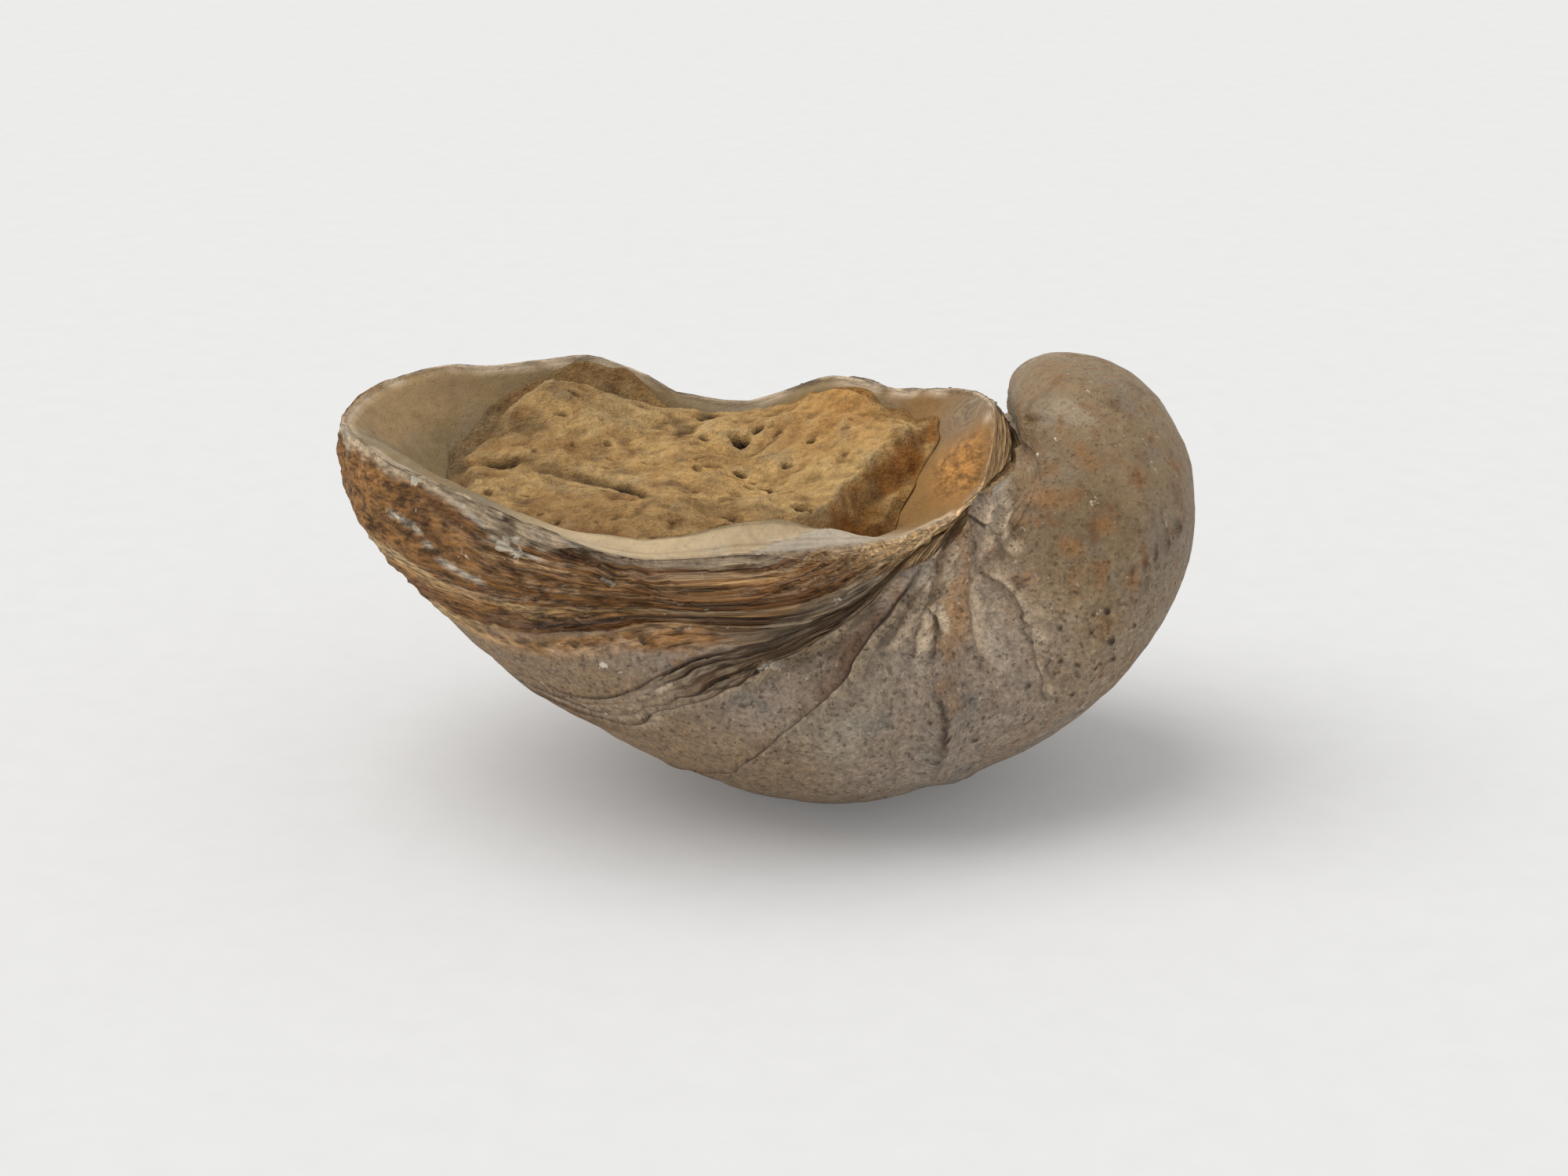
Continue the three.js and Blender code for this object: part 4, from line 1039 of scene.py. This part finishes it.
class Sediment:
    """Grid of the sediment: a few rows under it from the middle out, then its top from the edge inwards."""

    def __init__(self):
        theta = np.radians(np.linspace(-180, 180, FILL_COLUMNS, endpoint=False))
        under, under_theta = np.meshgrid(FILL_UNDER_ROWS, theta, indexing="ij")
        shares = 1 - np.linspace(0, 1, FILL_TOP_ROWS) ** 1.15 * 0.985
        self.share, top_theta = np.meshgrid(shares, theta, indexing="ij")
        ring = FILL_RING * np.stack([np.cos(theta), np.sin(theta), 0 * theta], -1)[None]
        ragged = 0.99 + 0.02 * noise(ring, 4, 151) + 0.012 * noise(ring, 1.3, 152)
        limit = fill_reach(np.degrees(theta))[None] * np.minimum(ragged, 1.01)
        self.bottom = hollow(limit * under, under_theta)
        self.bottom[..., 2] += fill_gap(np.abs(np.degrees(under_theta)))
        self.top = hollow(limit * self.share, top_theta)
        self.degrees = np.degrees(top_theta)
        self.away = np.abs(self.degrees)
        self.x, self.y = self.top[..., 0], self.top[..., 1]
        self.flat = np.stack([self.x, self.y, 0 * self.x], -1)
        self.add_lumps()
        self.add_step()
        self.add_roughness()
        self.add_crevice()
        self.add_holes()
        self.meet_edge()
        self.first = np.array([BOWL_X, 0, BOWL_FLOOR_Z + FILL_GAP])
        self.last = self.top[-1].mean(0)

    def away_from(self, x, y):
        """Level distance in mm from a place."""
        return np.hypot(self.x - x, self.y - y)

    def add_lumps(self):
        self.level = FILL_NEAR_Z + FILL_SLOPE * (self.y - FILL_NEAR_Y)
        for x, y, height, radius in FILL_LUMPS:
            self.level += height * bell(self.away_from(x, y), 0, radius)

    def add_step(self):
        """The step down across the top, its cliff and the shadowed ground beyond."""
        step = beyond_step(self.x, self.y) + FILL_STEP_WANDER * fractal(self.flat, 4.0, 161, 3)
        x, y, further, radius = FILL_STEP_BAY
        step = step + further * bell(self.away_from(x, y), 0, radius)
        self.cliff = smooth(-1.6, 0.2, step)
        self.shadowed = smooth(-0.8, 0.8, step + 0.8 * fractal(self.flat, 1.6, 179, 3))
        self.level -= FILL_STEP_DROP * smooth(-FILL_STEP_SPREAD, FILL_STEP_SPREAD, step)

    def add_roughness(self):
        """Rough ground, rougher on the cliff, with fine pores."""
        rough = 0.5 * fractal(self.flat, 5.5, 163, 3) + 0.2 * fractal(self.flat, 1.5, 167, 4)
        rough = rough + 0.5 * self.cliff * fractal(self.flat, 2.6, 169, 2)
        pores = smooth(0.80, 1.05, fractal(self.flat, (1.6, 1.2, 1), 171, 2))
        self.level += rough
        self.level -= PORE_DEPTH * pores
        # Painted shade in the pores.
        self.dark = 0.4 * pores

    def add_crevice(self):
        """A long crevice in painted shade, with lower ground on its near side."""
        below = 0.8 * (curve(CREVICE)(self.x) - self.y) + 0.4 * fractal(self.flat, 2.6, 173, 3)
        opening = between(self.x, -34, -30, -18, -15) * smooth(-1.0, -0.4, noise(self.flat, 3.5, 174))
        crevice = bell(below, 0.5, 0.7) * opening
        shelf = smooth(-0.4, 0.4, below) * np.exp(-np.maximum(below, 0) / 4) * opening
        self.level -= CREVICE_DEPTH * crevice
        self.level -= CREVICE_SHELF * shelf
        self.dark = np.maximum(self.dark, crevice)

    def add_holes(self):
        """Holes with wavy outlines, a little longer along x, with painted shade in them."""
        wavy = 0.25 * noise(self.flat, 0.8, 175)
        for x, y, radius, depth in HOLES:
            away = np.hypot((self.x - x) * HOLE_SQUEEZE, self.y - y) + wavy
            inside = smooth(radius, 0.35 * radius, away)
            self.level -= depth * inside
            self.dark = np.maximum(self.dark, inside)

    def meet_edge(self):
        """Gives the top its level, eased down to a low rim where it meets the hollow."""
        rim = FILL_RIM + (FILL_RIM_AT_LIP - FILL_RIM) * smooth(70, 30, self.away)
        rim = rim * (0.3 + 0.7 * smooth(140, 104, self.away))
        edge = self.top[..., 2] + fill_gap(self.away) + rim * (0.7 + 0.3 * noise(self.flat, 1.5, 177))
        over = self.level - edge
        over = (over + np.hypot(over, FILL_RIM_EASE)) / 2
        ramp = 0.12 - 0.07 * smooth(110, 150, self.away)
        self.top[..., 2] = edge + over * smooth(1, 1 - ramp, self.share)

    def tone(self):
        top, share, x, y, z = self.top, self.share, self.x, self.y, self.top[..., 2]
        cavity = (z - blurred(z, CAVITY_REACH)) * smooth(1.0, 0.94, share)
        by_crevice = 0.4 + 0.6 * bell(curve(CREVICE)(x) - y, 0, 4)
        far_lip = smooth(12.5, 16.5, y + 1.2 * fractal(top, 3, 197, 2)) * smooth(-10, -18, x)
        lip_edge = smooth(0.84, 1.0, share + 0.05 * fractal(top, 2.2, 193, 3)) * bell(self.degrees, 20, 34)
        raised = 0.35 * smooth(0.2, 0.9, fractal(top, 3.2, 187, 4)) + 1.5 * np.maximum(cavity, 0)
        foot = HINGE_BEIGE * 1.2
        tone = painted(OCHRE, top, [
            (LIGHT_OCHRE, 0.6, 6, 181, 3, -0.4, 0.8),
            (EARTH_BROWN, 0.45 * smooth(-13, -24, x + 2 * fractal(top, 5, 195, 2))),
            (EARTH_BROWN * 0.75, 0.45 * far_lip),
            (EARTH_BROWN * 0.85, 0.5 * smooth(-7, -12, y + 1.5 * fractal(top, 4, 199, 2))),
            (DEEP_OCHRE * 1.2, 0.5, 5.0, 205, 3, -0.1, 0.7),
            (DEEP_OCHRE, 0.65, 2.4, 185, 4, 0.0, 0.9),
            # Pale patches, and a painted highlight on the raised places.
            (PALE_OCHRE, raised),
            (EARTH_GREY, 0.4, 1.8, 189, 3, 0.3, 1.0),
            # Dark blotches, heavier along the crevice as painted shade beside it.
            (DARK_BROWN * 1.6, 0.38 * by_crevice, (3.2, 2.0, 2.0), 201, 4, 0.1, 0.8),
            (RUST * 1.25, 0.7 * bell(np.hypot(x, (y - 12.5) * 0.8), 0, 4.5)),
            (DEEP_OCHRE, 0.3 * smooth(-2, -10, y)),
            (EARTH_GREY * 0.8, 0.8 * lip_edge),
            (CLIFF_BROWN, 0.85 * self.cliff, 1.8, 191, 2, -0.7, 0.5),
            (CLIFF_BROWN * 0.4, (0.15 + 0.4 * smooth(4, -1, y)) * self.shadowed, 2.4, 203, 3, -1.0, 0.5),
            # Painted shade in the sunk places.
            (DARK_BROWN, 2.2 * np.maximum(-cavity, 0) * (1 - 0.9 * self.cliff)),
            # Painted shade in the pores, the crevice and the holes.
            (DARK_BROWN, 0.65 * self.dark),
            (foot, 0.8 * smooth(0.975, 1.0, share) * smooth(96, 120, self.away)),
        ])
        return np.concatenate([foot + 0 * self.bottom, tone])


def make_sediment():
    fill = Sediment()
    grid = np.concatenate([fill.bottom, fill.top])
    piece = closed_mesh("sediment_fill", fill.first, grid, fill.last)
    give_attribute(piece, "tone", "FLOAT_COLOR", fill.tone())
    return piece


# ---------------------------------------------------------------- materials

# Values between which most of a noise texture lies.
USUAL_NOISE = 0.3, 0.7
# Noise scales per metre: fine speckle, grit, pores, sediment grain, cloth of the floor, marks of the shell.
SPECKLE, GRIT, PORES, GRAIN, CLOTH = 2500, 900, 1900, 3000, 260
FLECKS, STRAY_FLECKS, BROWN_SPOTS = 2300, 1300, 560
# Metres: spacing of the swirl's rings, outer and inner edge of the swirl and of the rusty patch, and bumps.
RING_SPACING = 0.0009
SWIRL_EDGE, RUST_EDGE = (0.0062, 0.0040), (0.0040, 0.0024)
SHELL_BUMP, SEDIMENT_BUMP = 0.00028, 0.00050


class Nodes:
    """Short way to add and join the nodes of a material."""

    def __init__(self, name):
        self.material = bpy.data.materials.new(name)
        self.material.use_nodes = True
        self.tree = self.material.node_tree

    def put(self, socket, value):
        if isinstance(value, bpy.types.NodeSocket):
            self.tree.links.new(value, socket)
        else:
            socket.default_value = value

    def fill(self, node, inputs):
        """Sets inputs by name, or by place where the name isn't a word."""
        for key, value in inputs.items():
            self.put(node.inputs[key.replace("_", " ") if isinstance(key, str) else key], value)
        return node

    def add(self, kind, settings=None, **inputs):
        node = self.tree.nodes.new(kind)
        for key, value in (settings or {}).items():
            setattr(node, key, value)
        return self.fill(node, inputs)

    def shade(self, **inputs):
        self.fill(self.tree.nodes["Principled BSDF"], inputs)

    def attribute(self, name):
        return self.add("ShaderNodeAttribute", {"attribute_name": name})

    def channels(self, name):
        return self.add("ShaderNodeSeparateColor", Color=self.attribute(name).outputs["Color"]).outputs[:3]

    def position(self):
        return self.add("ShaderNodeTexCoord").outputs["Object"]

    def math(self, operation, a, b=0.0):
        node = self.add("ShaderNodeMath", {"operation": operation})
        return self.fill(node, {0: a, 1: b}).outputs[0]

    def times(self, *values):
        product = values[0]
        for value in values[1:]:
            product = self.math("MULTIPLY", product, value)
        return product

    def distance(self, vector, centre):
        """Distance in metres from a point given in mm."""
        node = self.add("ShaderNodeVectorMath", {"operation": "DISTANCE"})
        return self.fill(node, {0: vector, 1: [c / 1000 for c in centre]}).outputs["Value"]

    def noise(self, vector, scale, detail, roughness):
        node = self.add("ShaderNodeTexNoise", Vector=vector, Scale=scale, Detail=detail, Roughness=roughness)
        return node.outputs["Fac"]

    def range(self, value, low, high, out_low, out_high):
        ends = {"From Min": low, "From Max": high, "To Min": out_low, "To Max": out_high}
        return self.fill(self.add("ShaderNodeMapRange", Value=value), ends).outputs["Result"]

    def spread(self, noise, out_low, out_high):
        """Stretches the usual values of a noise to two ends."""
        return self.range(noise, *USUAL_NOISE, out_low, out_high)

    def scaled(self, colour, factor):
        node = self.add("ShaderNodeVectorMath", {"operation": "SCALE"}, Scale=factor)
        return self.fill(node, {0: colour}).outputs[0]

    def stretch(self, vector, scale, shift=(0, 0, 0)):
        return self.add("ShaderNodeMapping", Vector=vector, Scale=scale, Location=shift).outputs[0]

    def shifted(self, vector, *shift):
        return self.stretch(vector, (1, 1, 1), shift)

    def mix(self, factor, a, b):
        node = self.add("ShaderNodeMix", {"data_type": "FLOAT"})
        return self.fill(node, {0: factor, 2: a, 3: b}).outputs[0]

    def tinted(self, factor, base, colour):
        node = self.add("ShaderNodeMix", {"data_type": "RGBA"})
        return self.fill(node, {0: factor, 6: base, 7: (*colour, 1)}).outputs[2]

    def bump(self, height, distance, strength):
        return self.add("ShaderNodeBump", Height=height, Distance=distance, Strength=strength).outputs[0]


def hinge_marks(n, position, threads, inside):
    """Shade of the swirl at the hinge and of the fibres in the rusty patch beside it."""
    uneven = n.times(n.noise(position, 240, 4, 0.7), 0.0052)
    away = n.math("ADD", n.distance(position, SWIRL_CENTRE), uneven)
    rings = n.math("SINE", n.times(away, 2 * math.pi / RING_SPACING))
    rings = n.times(rings, n.range(n.noise(position, 260, 2, 0.6), 0.42, 0.62, 0.1, 1.0))
    swirl = n.times(n.range(away, *SWIRL_EDGE, 0.0, 1.0), inside)
    rust = n.times(n.range(n.distance(position, RUST_PATCH), *RUST_EDGE, 0.0, 1.0), inside)
    swirl_shade = n.mix(swirl, 1.0, n.range(rings, -1.0, 1.0, 0.78, 1.14))
    return n.times(swirl_shade, n.mix(rust, 1.0, n.range(threads, 0.38, 0.62, 0.45, 1.30)))


def shell_shade(n, band, speckle, grit, pores, layered, gloss):
    """Shade of the outside: grainy on the body, smoother on the umbo and layered on the band."""
    body = n.times(n.spread(speckle, 0.50, 1.24), n.spread(grit, 0.74, 1.18))
    # Darker in the pores: painted shade in them.
    body = n.times(body, n.math("SUBTRACT", 1.0, n.times(pores, 0.4)))
    body = n.mix(n.times(gloss, 0.62), body, 0.98)
    return n.mix(band, body, n.range(layered, 0.39, 0.61, 0.30, 1.48))


def flecked(n, position, colour, chalk, inside):
    """Adds white flecks, which are dense in the chalky spots, and stray ones outside the hollow."""
    fleck = n.noise(n.shifted(position, 0.1, 0.6, 0.9), FLECKS, 3, 0.6)
    bare = n.range(n.math("ADD", fleck, n.times(chalk, 0.5)), 0.90, 0.98, 0.0, 0.9)
    stray = n.range(n.noise(n.shifted(position, 0.4, 0.9, 0.3), STRAY_FLECKS, 3, 0.7), 0.66, 0.72, 0.0, 0.55)
    stray = n.times(stray, n.math("SUBTRACT", 1.0, inside))
    return n.tinted(n.math("MAXIMUM", bare, stray), colour, CHALK)


def shell_material():
    n = Nodes("weathered_shell")
    position = n.position()
    strata = n.attribute("strata").outputs["Vector"]
    band, fibrous, umbo = n.channels("masks")
    chalk, inside, gloss = n.channels("spots")
    speckle = n.noise(position, SPECKLE, 4, 0.72)
    grit = n.noise(position, GRIT, 4, 0.62)
    pores = n.range(n.noise(n.shifted(position, 0.3, 0.1, 0.2), PORES, 2, 0.5), 0.60, 0.70, 0.0, 1.0)
    fibres = n.noise(n.stretch(strata, (0.6, 0.6, 4.6)), 1.0, 5, 0.70)
    threads = n.noise(n.stretch(position, (1000, 1000, 1900)), 1.0, 5, 0.72)
    layered = n.mix(fibrous, fibres, threads)

    shade = shell_shade(n, band, speckle, grit, pores, layered, gloss)
    inside_shade = n.times(n.spread(grit, 0.80, 1.02), n.spread(speckle, 0.92, 1.04))
    shade = n.times(n.mix(inside, shade, inside_shade), hinge_marks(n, position, threads, inside))
    spots = n.noise(n.stretch(position, (1, 1, 0.8), (0.7, 0.2, 0.4)), BROWN_SPOTS, 4, 0.65)
    spots = n.times(n.range(spots, 0.55, 0.66, 0.0, 0.6), umbo)
    colour = n.scaled(n.tinted(spots, n.attribute("tone").outputs["Color"], SPOT_BROWN), shade)
    colour = flecked(n, position, colour, chalk, inside)

    rough = n.math("SUBTRACT", n.spread(grit, 0.70, 0.90), n.times(gloss, 0.25))
    relief = n.math("SUBTRACT", n.math("ADD", speckle, n.times(grit, 1.2)), n.times(pores, 0.5))
    relief = n.mix(band, relief, n.times(layered, 3.2))
    relief = n.times(relief, n.range(inside, 0.0, 1.0, 1.0, 0.3))
    n.shade(Base_Color=colour, Roughness=rough, Specular_IOR_Level=0.35)
    n.shade(Normal=n.bump(relief, SHELL_BUMP, 0.95))
    return n.material


def sediment_material():
    n = Nodes("hardened_sediment")
    grain = n.noise(n.position(), GRAIN, 3, 0.7)
    lumps = n.noise(n.position(), GRIT, 4, 0.65)
    shade = n.times(n.spread(grain, 0.74, 1.06), n.spread(lumps, 0.66, 1.14))
    colour = n.scaled(n.attribute("tone").outputs["Color"], shade)
    relief = n.bump(n.math("ADD", grain, lumps), SEDIMENT_BUMP, 1.0)
    n.shade(Base_Color=colour, Roughness=0.95, Specular_IOR_Level=0.2, Normal=relief)
    return n.material


def floor_material():
    n = Nodes("glowing_pale_floor")
    grey = n.spread(n.noise(n.position(), CLOTH, 3, 0.6), 0.68, 0.70)
    pale = n.add("ShaderNodeCombineColor", Red=grey, Green=grey, Blue=grey).outputs[0]
    n.shade(Base_Color=pale, Roughness=0.9, Specular_IOR_Level=0.1)
    # Painted glow: the floor gives off a little light, which lightens its shadows and lights the fossil from
    # below.
    n.shade(Emission_Color=(0.96, 0.98, 1.0, 1), Emission_Strength=0.11)
    return n.material


# ---------------------------------------------------------------- stage, light, camera

FLOOR_HALF = 6.0
SKY_STRENGTH = 0.57
KEY_DIRECTION, KEY_STRENGTH, KEY_ANGLE, KEY_COLOUR = (0.5, 0.05, -1.0), 1.75, 60, (1.0, 0.985, 0.96)
CAMERA_ELEVATION, CAMERA_DISTANCE, CAMERA_LENS, SENSOR_WIDTH = 20.0, 0.266, 70.0, 36
# Metres from the middle of the object's box to the point that the camera looks at.
AIM_OFFSET = Vector((0.00137, -0.00028, -0.0017))


def make_floor():
    mesh = bpy.data.meshes.new("floor")
    corners = [(x * FLOOR_HALF, y * FLOOR_HALF, 0) for x, y in ((-1, -1), (1, -1), (1, 1), (-1, 1))]
    mesh.from_pydata(corners, [], [(0, 1, 2, 3)])
    floor = linked("floor", mesh)
    floor.location.z = CAD_LOW.z
    floor.data.materials.append(floor_material())
    return floor


def set_light():
    world = bpy.data.worlds.new("studio")
    bpy.context.scene.world = world
    world.use_nodes = True
    background = world.node_tree.nodes["Background"]
    background.inputs["Color"].default_value = (1.0, 1.0, 1.0, 1)
    background.inputs["Strength"].default_value = SKY_STRENGTH
    light = bpy.data.lights.new("key", "SUN")
    light.energy, light.angle, light.color = KEY_STRENGTH, math.radians(KEY_ANGLE), KEY_COLOUR
    lamp = linked("key", light)
    lamp.rotation_mode = "QUATERNION"
    lamp.rotation_quaternion = Vector(KEY_DIRECTION).to_track_quat("-Z", "Y")


def set_camera():
    data = bpy.data.cameras.new("camera")
    data.lens, data.sensor_width = CAMERA_LENS, SENSOR_WIDTH
    data.clip_start, data.clip_end = 0.01, 30
    camera = linked("camera", data)
    elevation = math.radians(CAMERA_ELEVATION)
    back = Vector((0, -math.cos(elevation), math.sin(elevation)))
    camera.location = (CAD_LOW + CAD_HIGH) / 2 + AIM_OFFSET + back * CAMERA_DISTANCE
    camera.rotation_euler = (-back).to_track_quat("-Z", "Y").to_euler()
    bpy.context.scene.camera = camera


# ---------------------------------------------------------------- scene

valve_piece = make_valve()
valve_piece.data.materials.append(shell_material())
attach(valve_piece, "root")
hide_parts("valve")

sediment_piece = make_sediment()
sediment_piece.data.materials.append(sediment_material())
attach(sediment_piece, "root")
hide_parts("matrix")

make_floor()
set_light()
set_camera()
bpy.context.scene.view_settings.view_transform = "Standard"
